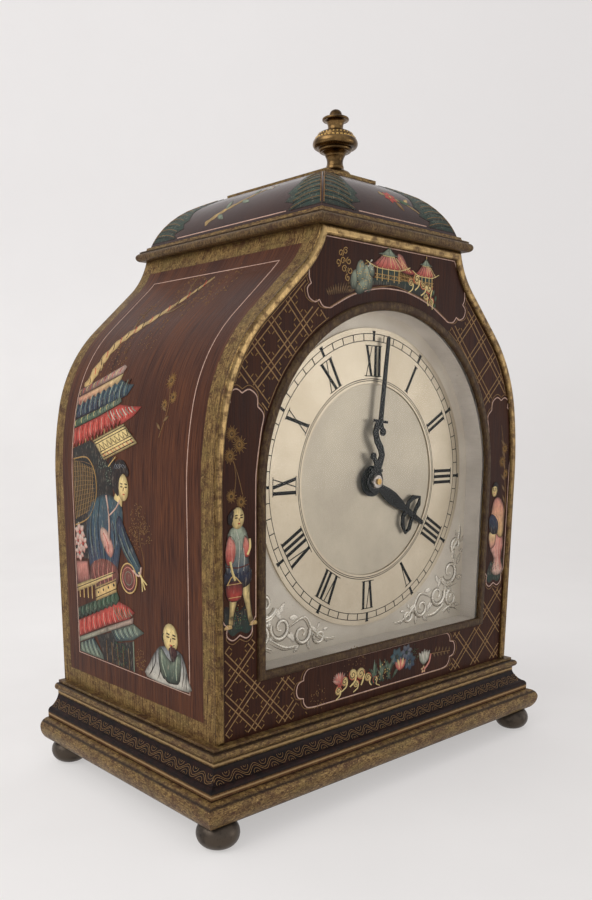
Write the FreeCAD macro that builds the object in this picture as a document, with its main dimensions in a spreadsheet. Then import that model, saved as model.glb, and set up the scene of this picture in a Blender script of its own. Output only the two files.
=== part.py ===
"""Chinoiserie bracket clock: painted timber case, silvered dial, eight-day platform movement.

Millimetres, +Z up, front towards -Y, origin on the floor under the middle of the clock.
Every sub-part is one labelled object of the document; its label names its file in parts/.
"""
import FreeCAD, Part

import math
import os

from FreeCAD import Placement, Rotation, Vector

X, Y, Z = Vector(1, 0, 0), Vector(0, 1, 0), Vector(0, 0, 1)
doc = FreeCAD.newDocument("BracketClock")
sheet = doc.addObject("Spreadsheet::Sheet", "Dims")
parts = []

DIMENSIONS = {
    # case
    "case_half_width": 85.0,
    "case_depth": 104.4,
    "case_front": -47.5,
    "plinth_top": 33.4,
    "case_top": 206.8,
    "side_board": 7.0,
    "front_board": 10.0,
    "back_board": 6.0,
    # plinth, from the floor up; a reach is how far a moulding stands out from the case face
    "foot_height": 9.4,
    "bullnose_top": 18.2,
    "fillet_top": 20.7,
    "cove_top": 27.0,
    "neck_top": 29.2,
    "bullnose_reach": 12.4,
    "fillet_reach": 8.4,
    "neck_reach": 3.4,
    "astragal_reach": 4.9,
    "rim_reach": 2.9,
    # top
    "cap_middle": 4.1,
    "dome_half_width": 38.1,
    "dome_half_depth": 52.1,
    "slab_reach": 3.7,
    "slab_thick": 3.2,
    "step_thick": 2.2,
    "dome_top": 231.6,
    "platform_thick": 1.2,
    "finial_y": -16.0,
    # dial, glass and beads
    "dial_centre": 118.7,
    "opening_half_width": 62.9,
    "opening_bottom": 55.8,
    "bead_proud": 1.4,
    "bead_width": 3.4,
    "glass_thick": 1.8,
    "dial_recess": 10.0,
    "ring_outer": 57.6,
    "ring_inner": 37.2,
    # movement
    "plate_thick": 2.0,
    "plate_gap": 26.0,
    "plate_half_width": 33.0,
    "plate_low": 75.0,
    "plate_high": 158.0,
    "arbor_radius": 1.2,
    "running_gap": 0.05,
    # rear door
    "door_half_width": 50.0,
    "door_bottom": 48.0,
    "door_thick": 5.0,
    "door_gap": 0.5,
    "knuckle_radius": 1.45,
    "pin_radius": 0.6,
}

for row, (alias, value) in enumerate(DIMENSIONS.items(), start=1):
    sheet.set("A%d" % row, alias.replace("_", " "))
    sheet.set("B%d" % row, str(value))
    sheet.setAlias("B%d" % row, alias)
doc.recompute()


def dim(alias):
    """The value of one driving dimension, read back from the sheet."""
    return float(sheet.get(alias))


# faces and levels that follow from the driving dimensions
FRONT = dim("case_front")
BACK = FRONT + dim("case_depth")
SIDE_X = dim("case_half_width")
PLINTH_TOP = dim("plinth_top")
CASE_TOP = dim("case_top")
PANEL_BACK = FRONT + dim("front_board")
DIAL_Y = FRONT + dim("dial_recess")
DIAL_Z = dim("dial_centre")
DIAL_PLATE = 1.5
PLATE_Y = DIAL_Y + DIAL_PLATE + 5.0
BACK_PLATE_Y = PLATE_Y + dim("plate_thick") + dim("plate_gap")
MOVEMENT_BACK = BACK_PLATE_Y + dim("plate_thick")
ARBOR = dim("arbor_radius")
GAP = dim("running_gap")


# ---------------------------------------------------------------- drawing helpers
PLANES = {"XZ": Rotation(X, Z, Y * -1, "XYZ"), "YZ": Rotation(Y, Z, X, "XYZ"), "XY": Rotation()}
NORMALS = {"XZ": (Y, "y"), "YZ": (X, "x"), "XY": (Z, "z")}


def node(thing, label):
    """Mark a finished object as a sub-part under its own name."""
    thing.Label = label
    parts.append(thing)
    return thing


def set_size(thing, prop, value):
    """A number is set as it is; text is an expression on the sheet."""
    if isinstance(value, str):
        thing.setExpression(prop, value)
    elif prop.startswith("Placement.Base."):
        base = thing.Placement.Base
        setattr(base, prop[-1], value)
        thing.Placement = Placement(base, thing.Placement.Rotation)
    else:
        setattr(thing, prop, value)


def end_of(step):
    """A step is a point, or a pair (point on the arc, end point) for an arc."""
    return step[1] if isinstance(step[0], tuple) else step


def outline(start, *steps):
    """Closed list of lines and arcs through the steps and back to the start."""
    pieces = []
    here = start
    for step in steps + (start,):
        end = end_of(step)
        if math.dist(here, end) < 1e-6:
            continue
        a, b = Vector(*here, 0), Vector(*end, 0)
        bent = isinstance(step[0], tuple)
        pieces.append(Part.Arc(a, Vector(*step[0], 0), b) if bent else Part.LineSegment(a, b))
        here = end
    return pieces


def circle(x, z, radius):
    return [Part.Circle(Vector(x, z, 0), Z, radius)]


def sketch(name, plane, *loops):
    """A sketch of closed loops on one of the three main planes."""
    drawing = doc.addObject("Sketcher::SketchObject", name)
    drawing.Placement = Placement(Vector(), PLANES[plane])
    for loop in loops:
        drawing.addGeometry(loop, False)
    return drawing


def extrude(name, plane, at, length, *loops):
    """Loops on a main plane, moved along its normal to a level and given a thickness."""
    normal, letter = NORMALS[plane]
    solid = doc.addObject("Part::Extrusion", name)
    solid.Base = sketch(name + "_outline", plane, *loops)
    solid.DirMode = "Custom"
    solid.Dir = normal
    solid.Solid = True
    set_size(solid, "LengthFwd", length)
    set_size(solid, "Placement.Base." + letter, at)
    return solid


def box(name, low, size):
    """A box from its low corner and its sizes, each a number or an expression."""
    thing = doc.addObject("Part::Box", name)
    for prop, value in zip(("Length", "Width", "Height"), size):
        set_size(thing, prop, value)
    for letter, value in zip("xyz", low):
        set_size(thing, "Placement.Base." + letter, value)
    return thing


def rod(name, start, radius, length, along=Y):
    """A plain cylinder from its start point along an axis."""
    thing = doc.addObject("Part::Cylinder", name)
    thing.Placement = Placement(Vector(*start), Rotation(Z, along))
    set_size(thing, "Radius", radius)
    set_size(thing, "Height", length)
    return thing


def turned(name, at, along, start, *steps):
    """A lathe-turned piece: (radius, height) outline spun round its axis."""
    spun = doc.addObject("Part::Revolution", name)
    spun.Source = sketch(name + "_outline", "XZ", outline(start, *steps))
    spun.Axis = Z
    spun.Angle = 360
    spun.Solid = True
    spun.Placement = Placement(Vector(*at), Rotation(Z, along))
    return spun


def group(name, *pieces):
    """Several separate solids kept as one object."""
    result = doc.addObject("Part::Compound", name)
    result.Links = list(pieces)
    return result


def cut(name, base, *tools):
    result = doc.addObject("Part::Cut", name)
    result.Base = base
    result.Tool = tools[0] if len(tools) == 1 else fuse(name + "_tools", *tools)
    return result


def fuse(name, *pieces):
    result = doc.addObject("Part::MultiFuse", name)
    result.Shapes = list(pieces)
    return result


def common(name, one, other):
    result = doc.addObject("Part::Common", name)
    result.Base = one
    result.Tool = other
    return result


def made(name, shape, spot=(0, 0, 0), turn=Rotation()):
    """A shape worked out by formula, such as a toothed wheel."""
    thing = doc.addObject("Part::Feature", name)
    thing.Shape = shape
    thing.Placement = Placement(Vector(*spot), turn)
    return thing


# ---------------------------------------------------------------- case outlines
CURVE_START = 117.5                         # height where the side leaves the vertical
SHOULDERS = ((137.0, 12.2), (58.0, 47.5))   # convex arcs: radius, tilt reached in degrees
FLANK = 24.0                                # straight slope from shoulder to neck
NECK_RADIUS = 29.0                          # concave arc under the cornice


def side_steps(inset):
    """Right-hand side line moved in by an inset: its foot, then steps up to the cornice."""
    steps = [(SIDE_X - inset, CURVE_START)]
    x, z, tilt = SIDE_X, CURVE_START, 0.0
    for radius, reached in SHOULDERS:
        goal = math.radians(reached)
        cx, cz = x - radius * math.cos(tilt), z - radius * math.sin(tilt)
        bend = [(cx + (radius - inset) * math.cos(a), cz + (radius - inset) * math.sin(a))
                for a in ((tilt + goal) / 2, goal)]
        steps.append(tuple(bend))
        x, z, tilt = cx + radius * math.cos(goal), cz + radius * math.sin(goal), goal
    x, z = x - FLANK * math.sin(tilt), z + FLANK * math.cos(tilt)
    steps.append((x - inset * math.cos(tilt), z - inset * math.sin(tilt)))
    cx, cz = x + NECK_RADIUS * math.cos(tilt), z + NECK_RADIUS * math.sin(tilt)
    reach = NECK_RADIUS + inset
    last = math.asin((cz - CASE_TOP) / reach)
    steps.append(tuple((cx - reach * math.cos(a), cz - reach * math.sin(a))
                       for a in ((tilt + last) / 2, last)))
    return (SIDE_X - inset, PLINTH_TOP), steps


def backwards(start, steps):
    """The same open run from its far end."""
    ends = [start] + [end_of(step) for step in steps]
    run = []
    for index in range(len(steps) - 1, -1, -1):
        step = steps[index]
        run.append((step[0], ends[index]) if isinstance(step[0], tuple) else ends[index])
    return ends[-1], run


def flipped(step):
    """A step mirrored to the left-hand side."""
    if isinstance(step[0], tuple):
        return (flipped(step[0]), flipped(step[1]))
    return (-step[0], step[1])


def case_outline(inset, floor=PLINTH_TOP):
    """The whole front shape: plinth line, up one side, over the top, down the other."""
    foot, steps = side_steps(inset)
    top, down = backwards(foot, steps)
    foot = (foot[0], floor)
    down[-1] = (down[-1][0], floor)
    return outline(foot, *steps, flipped(top), *[flipped(step) for step in down])


def arch(half_width, bottom):
    """A sill, straight sides and a half-round head centred on the dial."""
    return outline((-half_width, bottom), (half_width, bottom), (half_width, DIAL_Z),
                   ((0, DIAL_Z + half_width), (-half_width, DIAL_Z)))


def opening(grow):
    """The glazed opening, made larger all round."""
    return arch(dim("opening_half_width") + grow, dim("opening_bottom") - grow)


# ---------------------------------------------------------------- mouldings
def moved(step, face, sign):
    """A section step (reach, height) carried to a face."""
    if isinstance(step[0], tuple):
        return (moved(step[0], face, sign), moved(step[1], face, sign))
    return (face + sign * step[0], step[1])


def mitred(name, section, half_width, front, back, back_moulded=False):
    """A solid with one moulded section on its front and sides, and on its back when asked.

    The section is drawn across the width and across the depth; what the two extrusions
    share has true mitres at the corners. A plain back stops flush.
    """
    top, down = backwards(section[0], section[1:])
    right = [moved(step, half_width, 1) for step in section]
    left = [moved(step, -half_width, -1) for step in [top] + down]
    near = [moved(step, front, -1) for step in section]
    far = [moved(step, back, 1) for step in [top] + down] if back_moulded else [
        (back, top[1]), (back, section[0][1])]
    room = 30
    return common(
        name,
        extrude(name + "_across", "XZ", front - room, back - front + 2 * room, outline(*right, *left)),
        extrude(name + "_along", "YZ", -half_width - room, 2 * (half_width + room), outline(*near, *far)),
    )


# ---------------------------------------------------------------- plinth and feet
FOOT_X = 88.0
FOOT_Y = (FRONT - 4.8, BACK - 7.6)
FOOT_SPOTS = [(sx * FOOT_X, y) for y in FOOT_Y for sx in (-1, 1)]
SCREW_RADIUS = 1.6


def feet():
    height = dim("foot_height")
    buns, studs = [], []
    for number, (x, y) in enumerate(FOOT_SPOTS, start=1):
        buns.append(turned(
            "foot_%d" % number, (x, y, 0), Z,
            (SCREW_RADIUS, 2.0), (2.4, 2.0), (2.4, 0), (3.6, 0), ((7.6, 4.9), (4.6, height)),
            (SCREW_RADIUS, height)))
        studs.append(turned(
            "stud_%d" % number, (x, y, 2.0), Z,
            (0, 0), (SCREW_RADIUS, 0), (SCREW_RADIUS, 13.0), (0, 14.5)))
    node(group("foot_buns", *buns), "bun_feet")
    node(group("foot_studs", *studs), "foot_screws")


def stud_holes(name):
    return [rod("%s_hole_%d" % (name, number), (x, y, -1), SCREW_RADIUS, 19.0, Z)
            for number, (x, y) in enumerate(FOOT_SPOTS, start=1)]


def plinth():
    foot_top, nose_top = dim("foot_height"), dim("bullnose_top")
    nose, fillet, neck = dim("bullnose_reach"), dim("fillet_reach"), dim("neck_reach")
    fillet_top, cove_top, neck_top = dim("fillet_top"), dim("cove_top"), dim("neck_top")
    board_x, board_front = SIDE_X - 12, FRONT + 12
    node(box("base_core", (-board_x, board_front, "Dims.foot_height"),
             (2 * board_x, BACK - board_front, "Dims.bullnose_top - Dims.foot_height")), "base_board")
    bullnose = mitred("bullnose_whole", [
        (nose - 2.2, foot_top), ((nose - 0.5, 12.0), (nose, 14.6)), ((nose - 0.9, 16.9), (nose - 3.4, nose_top)),
    ], SIDE_X, FRONT, BACK)
    core = box("bullnose_core", (-board_x, board_front, foot_top - 1), (2 * board_x, 200, 20))
    node(cut("bullnose", bullnose, core, *stud_holes("bullnose")), "plinth_bullnose")

    frieze = mitred("frieze_whole", [
        (fillet, nose_top), (fillet, fillet_top),
        ((fillet - 0.4, fillet_top + 1.1), (fillet - 1.5, fillet_top + 1.8)),
        ((neck + 1.3, fillet_top + 3.8), (neck + 0.1, cove_top)),
        (neck, cove_top), (neck, neck_top),
    ], SIDE_X, FRONT, BACK)
    hollow = box("frieze_hollow", (8 - SIDE_X, FRONT + 8, nose_top - 1),
                 (2 * SIDE_X - 16, dim("case_depth") - 16, 20))
    node(cut("frieze", frieze, hollow), "plinth_frieze")

    rim_low = PLINTH_TOP - 1.2
    rim = dim("rim_reach")
    node(mitred("floor_whole", [
        (neck - 0.5, neck_top), ((dim("astragal_reach"), (neck_top + rim_low) / 2), (neck - 0.5, rim_low)),
        (rim, rim_low), (rim, PLINTH_TOP),
    ], SIDE_X, FRONT, BACK), "floor_board")


# ---------------------------------------------------------------- case walls
def side_panels():
    foot, outer = side_steps(0)
    inner_foot, inner = side_steps(dim("side_board"))
    inner_top, down = backwards(inner_foot, inner)
    for sign, label in ((1, "side_panel_right"), (-1, "side_panel_left")):
        loop = [foot] + outer + [inner_top] + down
        if sign < 0:
            loop = [flipped(step) for step in loop]
        node(extrude(label, "XZ", PANEL_BACK, BACK - PANEL_BACK, outline(*loop)), label)


def front_beads():
    """Rounded gilt beads: one follows the edge of the case, one frames the opening."""
    proud, width = dim("bead_proud"), dim("bead_width")
    foot, outer = side_steps(0)
    inner_foot, inner = side_steps(width)
    top, down = backwards(foot, outer)
    inner_top, inner_down = backwards(inner_foot, inner)
    below = CASE_TOP - width
    inner_top = (inner_top[0] + 0.9, below)
    inner[-1] = (inner[-1][0], inner_top)
    inner_down[0] = inner[-1][0:1] + (inner_down[0][1],)
    loop = [foot] + outer + [flipped(top)] + [flipped(step) for step in down]
    loop += [flipped(inner_foot)] + [flipped(step) for step in inner] + [inner_top] + inner_down
    edge = extrude("edge_bead", "XZ", FRONT - proud, proud, outline(*loop))
    frame = extrude("frame_bead", "XZ", FRONT - proud, proud, opening(0), opening(width))
    doc.recompute()
    node(rounded("edge_bead_round", edge, FRONT - proud, proud - 0.3), "front_edge_bead")
    node(rounded("frame_bead_round", frame, FRONT - proud, proud - 0.3), "opening_bead")


def rounded(name, base, face_y, radius):
    """The base with every edge of its front face rounded."""
    result = doc.addObject("Part::Fillet", name)
    result.Base = base
    result.Edges = [(index, radius, radius) for index, edge in enumerate(base.Shape.Edges, start=1)
                    if abs(edge.BoundBox.YMin - face_y) < 1e-3 and abs(edge.BoundBox.YMax - face_y) < 1e-3]
    return result


def front():
    node(extrude("front_blank", "XZ", "Dims.case_front", "Dims.front_board",
                 case_outline(0), opening(2)), "front_panel")
    front_beads()
    glass_y = FRONT
    node(extrude("glass_pane", "XZ", glass_y, "Dims.glass_thick", opening(1.9)), "dial_glass")
    slip_y = glass_y + dim("glass_thick")
    node(extrude("slip", "XZ", slip_y, DIAL_Y - slip_y, opening(1.9), opening(0.7)), "dial_slip")


def back():
    inset = dim("side_board")
    frame_y = BACK - dim("back_board")
    half, low, gap = dim("door_half_width"), dim("door_bottom"), dim("door_gap")
    node(extrude("frame_blank", "XZ", frame_y, "Dims.back_board", case_outline(inset), arch(half, low)),
         "back_frame")
    leaf = extrude("door_leaf", "XZ", BACK - dim("door_thick"), "Dims.door_thick", arch(half - gap, low + gap))
    node(leaf, "rear_door")
    axis_x, axis_y = -half - gap / 2, BACK + dim("knuckle_radius")
    frame_leaves, door_leaves, pins = [], [], []
    for number, low_z in enumerate((62.0, 100.0), start=1):
        frame_leaves.append(hinge_leaf("frame_leaf_%d" % number, axis_x, axis_y, low_z, -1))
        door_leaves.append(hinge_leaf("door_leaf_%d" % number, axis_x, axis_y, low_z, 1))
        pins.append(rod("pin_%d" % number, (axis_x, axis_y, low_z), "Dims.pin_radius", 3 * KNUCKLE, Z))
    node(group("frame_leaves", *frame_leaves), "hinge_frame_leaves")
    node(group("door_leaves", *door_leaves), "hinge_door_leaves")
    node(group("hinge_pin_pair", *pins), "hinge_pins")
    node(turned("pull", (half - 9, BACK, DIAL_Z), Y,
                (0, 0), (2.6, 0), (2.2, 0.8), ((4.2, 1.6), (3.6, 2.3)), ((1.9, 2.8), (0.3, 2.9)), (0, 2.9)), "door_pull")


KNUCKLE = 6.0
LEAF_THICK = 0.7
LEAF_REACH = 9.0


def hinge_leaf(name, axis_x, axis_y, low_z, side):
    """One leaf of a butt hinge: a plate on the board and its share of the three knuckles."""
    radius, pin, space = dim("knuckle_radius"), dim("pin_radius"), 0.1
    bore = pin + (GAP if side > 0 else 0)
    near = 0.55
    plate_x = axis_x + near if side > 0 else axis_x - near - LEAF_REACH
    plate = box(name + "_plate", (plate_x, BACK, low_z), (LEAF_REACH, LEAF_THICK, 3 * KNUCKLE))
    spans = [(KNUCKLE + space, KNUCKLE - 2 * space)] if side > 0 else [
        (0, KNUCKLE - space), (2 * KNUCKLE + space, KNUCKLE - space)]
    rest = [(0, KNUCKLE + space), (2 * KNUCKLE - space, KNUCKLE + space)] if side > 0 else [
        (KNUCKLE - space, KNUCKLE + 2 * space)]
    barrels = [rod("%s_knuckle_%d" % (name, i), (axis_x, axis_y, low_z + start), radius, length, Z)
               for i, (start, length) in enumerate(spans)]
    clear_x = axis_x - 0.2 if side > 0 else axis_x - 2.2
    notches = [box("%s_notch_%d" % (name, i), (clear_x, BACK - 1, low_z + start), (2.4, 6, length))
               for i, (start, length) in enumerate(rest)]
    bore_rod = rod(name + "_bore", (axis_x, axis_y, low_z - 1), bore, 3 * KNUCKLE + 2, Z)
    return cut(name, fuse(name + "_solid", plate, *barrels), bore_rod, *notches)


# ---------------------------------------------------------------- cornice, cap and finial
FINIAL = (0, dim("finial_y"))
FINIAL_BORE = 1.6
DISC_RISE, CAP_RISE = 10.6, 16.4
STEP_TOP = CASE_TOP + dim("slab_thick") + dim("step_thick")


def cap():
    middle, half_w, half_d = dim("cap_middle"), dim("dome_half_width"), dim("dome_half_depth")
    low, high = middle - half_d, middle + half_d
    under = CASE_TOP - 6
    node(box("under_cornice", (-30.5, PANEL_BACK, under), (61, BACK - dim("back_board") - PANEL_BACK, 6)),
         "top_board")
    slab_top = CASE_TOP + dim("slab_thick")
    reach = dim("slab_reach")
    node(mitred("slab", [
        (reach - 1.2, CASE_TOP), ((reach, (CASE_TOP + slab_top) / 2), (reach - 1.2, slab_top)),
    ], half_w, low, high, True), "cornice_slab")
    node(mitred("cap_step", [
        (2.4, slab_top), (2.4, slab_top + 0.7), ((0.7, slab_top + 1.0), (0.2, STEP_TOP)),
    ], half_w, low, high, True), "cap_moulding")
    top = dim("dome_top")
    dome = mitred("dome_whole", [
        (-0.9, STEP_TOP), ((-4.8, 219.9), (-12.0, 226.5)), ((-18.0, 229.4), (-23.6, top)),
    ], half_w, low, high, True)
    wall, hollow_rise, hollow_half_width = 12, 10, 26
    hollow = box("dome_hollow", (-hollow_half_width, low + wall, STEP_TOP - 1),
                 (2 * hollow_half_width, 2 * (half_d - wall), hollow_rise + 1))
    bore = rod("dome_bore", (*FINIAL, STEP_TOP), FINIAL_BORE, 30, Z)
    node(cut("dome", dome, hollow, bore), "dome_cap")
    plate_half_width, plate_front, plate_back = 13.75, -24.8, 32.8
    plate = box("platform", (-plate_half_width, plate_front, top),
                (2 * plate_half_width, plate_back - plate_front, "Dims.platform_thick"))
    bore = rod("platform_bore", (*FINIAL, top - 1), FINIAL_BORE, 5, Z)
    node(cut("platform_bored", plate, bore), "top_platform")


def finial():
    """Turned brass finial, threaded on a rod that a nut holds under the dome."""
    base_z = dim("dome_top") + dim("platform_thick")
    disc_z, cap_z = base_z + DISC_RISE, base_z + CAP_RISE
    bore = FINIAL_BORE
    node(turned("stem", (*FINIAL, base_z), Z,
                (bore, 0), (6.1, 0), (6.2, 0.7), ((6.0, 1.6), (5.0, 2.3)), ((3.8, 3.0), (3.4, 4.2)),
                ((3.1, 6.4), (3.7, 7.9)), ((4.2, 8.8), (5.2, 9.4)), ((6.3, 10.0), (6.25, DISC_RISE)), (bore, DISC_RISE)),
         "finial_stem")
    node(turned("disc", (*FINIAL, disc_z), Z,
                (bore, 0), (6.8, 0), ((8.5, 1.0), (8.5, 2.2)), ((8.1, 3.0), (7.0, 3.3)), (6.9, 4.2),
                ((6.3, 5.3), (5.0, 5.8)), (bore, 5.8)), "finial_disc")
    node(turned("cap", (*FINIAL, cap_z), Z,
                (0, 0), (3.7, 0), ((2.9, 1.6), (3.2, 3.1)), ((3.6, 3.7), (4.7, 4.0)), ((5.1, 4.5), (4.4, 5.0)),
                ((2.9, 5.4), (2.4, 5.9)), ((1.9, 7.3), (0.3, 8.0)), (0, 8.0)), "finial_cap")
    nut_z = STEP_TOP + 6.5
    node(rod("rod", (*FINIAL, nut_z), bore, cap_z - nut_z, Z), "finial_rod")
    flats = [(5 * math.cos(math.radians(a)), 5 * math.sin(math.radians(a)) + FINIAL[1])
             for a in range(0, 360, 60)]
    node(extrude("nut", "XY", nut_z + 0.5, 3.0, outline(*flats), circle(*FINIAL, bore)), "finial_nut")


# ---------------------------------------------------------------- dial
DIAL_FEET = [(sx * 26.0, DIAL_Z + sz * 30.0) for sx in (-1, 1) for sz in (-1, 1)]


def dial():
    back_y = DIAL_Y + DIAL_PLATE
    sheet_metal = extrude("plate", "XZ", DIAL_Y, DIAL_PLATE, opening(8), circle(0, DIAL_Z, 2.7))
    posts = [rod("dial_foot_%d" % i, (x, back_y - 0.5, z), 1.6, PLATE_Y - back_y + 0.5)
             for i, (x, z) in enumerate(DIAL_FEET)]
    node(fuse("plate_and_feet", sheet_metal, *posts), "dial_plate")
    node(extrude("ring", "XZ", DIAL_Y - 0.8, 0.8, circle(0, DIAL_Z, dim("ring_outer")),
                 circle(0, DIAL_Z, dim("ring_inner"))), "chapter_ring")
    node(extrude("centre", "XZ", DIAL_Y - 0.3, 0.3, circle(0, DIAL_Z, dim("ring_inner") - 0.2),
                 circle(0, DIAL_Z, 2.7)), "dial_centre")
    spots = [(sx * 67.5, z) for sx in (-1, 1) for z in (60.0, 112.0)]
    node(group("heads", *[turned("screw_%d" % i, (x, back_y, z), Y, (0, -7.5), (1.0, -7.0), (1.0, 0),
                                 (2.2, 0), (2.0, 1.0), (0, 1.0)) for i, (x, z) in enumerate(spots)]),
         "dial_screws")


# ---------------------------------------------------------------- wheels and pinions
def polar(radius, angle):
    return (radius * math.cos(angle), radius * math.sin(angle))


def tooth_ring(teeth, module, aim, share, root=-1.15, tip=0.75):
    """Corner points of a wheel whose first tooth points at the aim angle."""
    pitch_radius = teeth * module / 2
    pitch = 2 * math.pi / teeth
    corners = []
    for index in range(teeth):
        middle = aim + index * pitch
        for radius, part in ((pitch_radius + root * module, -0.62), (pitch_radius, -0.5),
                             (pitch_radius + tip * module, -0.22), (pitch_radius + tip * module, 0.22),
                             (pitch_radius, 0.5), (pitch_radius + root * module, 0.62)):
            corners.append(polar(radius, middle + part * share * pitch))
    return corners


def slab_y(corners, thick):
    """A polygon in X and Z given a thickness towards +Y."""
    loop = [Vector(x, 0, z) for x, z in corners]
    return Part.Face(Part.makePolygon(loop + loop[:1])).extrude(Vector(0, thick, 0))


def rod_y(radius, y, length, x=0, z=0):
    return Part.makeCylinder(radius, length, Vector(x, y, z), Y)


def wheel(teeth, module, aim, thick, bore, y=0, spokes=0, share=0.46):
    """A toothed disc with a bore, lightened between its spokes."""
    shape = slab_y(tooth_ring(teeth, module, aim, share), thick)
    shape.translate(Vector(0, y, 0))
    if spokes:
        rim, hub = teeth * module / 2 - 1.15 * module - 1.4, bore + 1.6
        window = rod_y(rim, y - 1, thick + 2).cut(rod_y(hub, y - 1, thick + 2))
        for index in range(spokes):
            bar = Part.makeBox(rim + 1, thick + 2, 1.6, Vector(0, y - 1, -0.8))
            bar.rotate(Vector(), Y, index * 360 / spokes)
            window = window.cut(bar)
        shape = shape.cut(window)
    return shape.cut(rod_y(bore, y - 1, thick + 2)) if bore else shape


def pinion(leaves, module, aim, y, length):
    return slab_y(tooth_ring(leaves, module, aim, 0.34, -1.0, 0.7), length).translated(Vector(0, y, 0))


# centres of the train, each laid out from the one before it
CENTRE = (0.0, DIAL_Z)


def beyond(start, distance, angle_deg):
    angle = math.radians(angle_deg)
    return (start[0] + distance * math.cos(angle), start[1] + distance * math.sin(angle))


BARREL_AIM, THIRD_AIM = -116.4, 56.25
BARREL = beyond(CENTRE, (80 + 10) * 0.5 / 2, BARREL_AIM)
THIRD = beyond(CENTRE, (80 + 10) * 0.4 / 2, THIRD_AIM)
FOURTH = (0.0, THIRD[1] + math.sqrt(((75 + 10) * 0.35 / 2) ** 2 - THIRD[0] ** 2))
FOURTH_AIM = math.degrees(math.atan2(FOURTH[1] - THIRD[1], FOURTH[0] - THIRD[0]))
MINUTE_WHEEL_AIM = -30.0
MINUTE_WHEEL = beyond(CENTRE, 12.0, MINUTE_WHEEL_AIM)
CLICK = (BARREL[0] + 12.2, BARREL[1] + 6.2)
BETWEEN = PLATE_Y + dim("plate_thick")


def gap_aim(angle_deg, leaves):
    """Aim that puts a pinion's gap on the line back to the wheel that drives it."""
    return math.radians(angle_deg) + math.pi + math.pi / leaves


def at(spot, y=0.0):
    return (spot[0], y, spot[1])


def movement_frame():
    spots = [(sx * 29.0, z) for sx in (-1, 1) for z in (79.0, 154.0)]
    holes = [(CENTRE, ARBOR + GAP), (BARREL, 2.5 + GAP), (THIRD, 0.6 + GAP), (FOURTH, 0.6 + GAP)]
    half, low, high = dim("plate_half_width"), dim("plate_low"), dim("plate_high")
    rectangle = outline((-half, low), (half, low), (half, high), (-half, high))
    loops = [rectangle] + [circle(*spot, radius) for spot, radius in holes]
    sheet_front = extrude("front_plate_flat", "XZ", PLATE_Y, "Dims.plate_thick", *loops)
    x, z = MINUTE_WHEEL
    stud = rod("minute_wheel_stud", (x, PLATE_Y - 4.2, z), 0.8, 4.7)
    node(fuse("front_plate", sheet_front, stud), "movement_front_plate")
    node(extrude("back_plate", "XZ", BACK_PLATE_Y, "Dims.plate_thick", *loops), "movement_back_plate")
    node(group("pillar_set", *[turned(
        "pillar_%d" % i, (x, BETWEEN, z), Y, (0, 0), (2.4, 0), (2.4, 2.0), (1.8, 3.0), (1.8, 23.0), (2.4, 24.0),
        (2.4, 26.0), (0, 26.0)) for i, (x, z) in enumerate(spots)]), "movement_pillars")
    screws = [turned("pillar_screw_%d" % i, (x, MOVEMENT_BACK, z), Y, (0, 0), (2.6, 0), (2.6, 1.0), (2.0, 1.5),
                     (0, 1.5)) for i, (x, z) in enumerate(spots)]
    px, pz = CLICK
    screws.append(turned("click_screw", (px, MOVEMENT_BACK, pz), Y, (0, 0), (0.8, 0), (0.8, 2.0), (1.6, 2.1),
                         (1.6, 2.9), (0, 2.9)))
    node(group("screw_set", *screws), "movement_screws")


# running parts: bores, pipes, heights and the angles at which the hands rest
BARREL_BORE = 2.5 + GAP
CANNON_PIPE, HOUR_PIPE = 1.7, 2.3
HAND_THICK = 0.6
HOUR_HAND_Y, MINUTE_HAND_Y = DIAL_Y - 2.1, DIAL_Y - 3.6
ARBOR_TIP_Y = MINUTE_HAND_Y - 2.1
MINUTE_ANGLE, HOUR_ANGLE = 6.0, 120.5
CONTRATE_TEETH, CONTRATE_RADIUS = 70, 11.0
CONTRATE_TIP = BETWEEN + 17.0
ESCAPE_LEAVES, ESCAPE_TEETH = 7, 15
ESCAPE = (0.0, CONTRATE_TIP - 0.75)
BALANCE_OFFSET = 13.6


def train():
    great = wheel(80, 0.5, math.radians(BARREL_AIM + 180), 1.8, BARREL_BORE, BETWEEN + 16)
    drum = rod_y(17.5, BETWEEN + 4.5, 11.5)
    drum = drum.cut(rod_y(16.5, BETWEEN + 5.5, 10.5)).cut(rod_y(BARREL_BORE, BETWEEN, 30))
    node(made("barrel_body", drum.fuse(great), at(BARREL)), "mainspring_barrel")
    node(made("spring", spiral(3.6, 15.6, 7, 0.35, BETWEEN + 6.2, 8.8), at(BARREL)), "mainspring")

    driven = pinion(10, 0.5, gap_aim(BARREL_AIM + 180, 10), BETWEEN + 15, 4)
    arbor = rod_y(ARBOR, ARBOR_TIP_Y, MOVEMENT_BACK + 7.0 - ARBOR_TIP_Y)
    centre = wheel(80, 0.4, math.radians(THIRD_AIM), 1.4, ARBOR - 0.2, BETWEEN + 1.2, 5)
    node(made("centre_body", arbor.fuse([driven, centre]), at(CENTRE)), "centre_wheel")
    node(turned("set_knob", (0, MOVEMENT_BACK + 2.5, DIAL_Z), Y, (ARBOR, 0), (3.2, 0), (3.2, 1.0),
                ((5.6, 1.8), (5.2, 4.2)), (4.6, 4.5), (ARBOR, 4.5)), "hand_set_knob")
    third = pinion(10, 0.4, gap_aim(THIRD_AIM, 10), BETWEEN + 0.8, 2.6)
    third = third.fuse([between_arbor(), wheel(75, 0.35, math.radians(FOURTH_AIM), 1.2, 0, BETWEEN + 7)])
    node(made("third_body", third, at(THIRD)), "third_wheel")
    fourth = pinion(10, 0.35, gap_aim(FOURTH_AIM, 10), BETWEEN + 6, 3.2)
    node(made("contrate_body", fourth.fuse([between_arbor(), crown_wheel()]), at(FOURTH)), "contrate_wheel")


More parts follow.
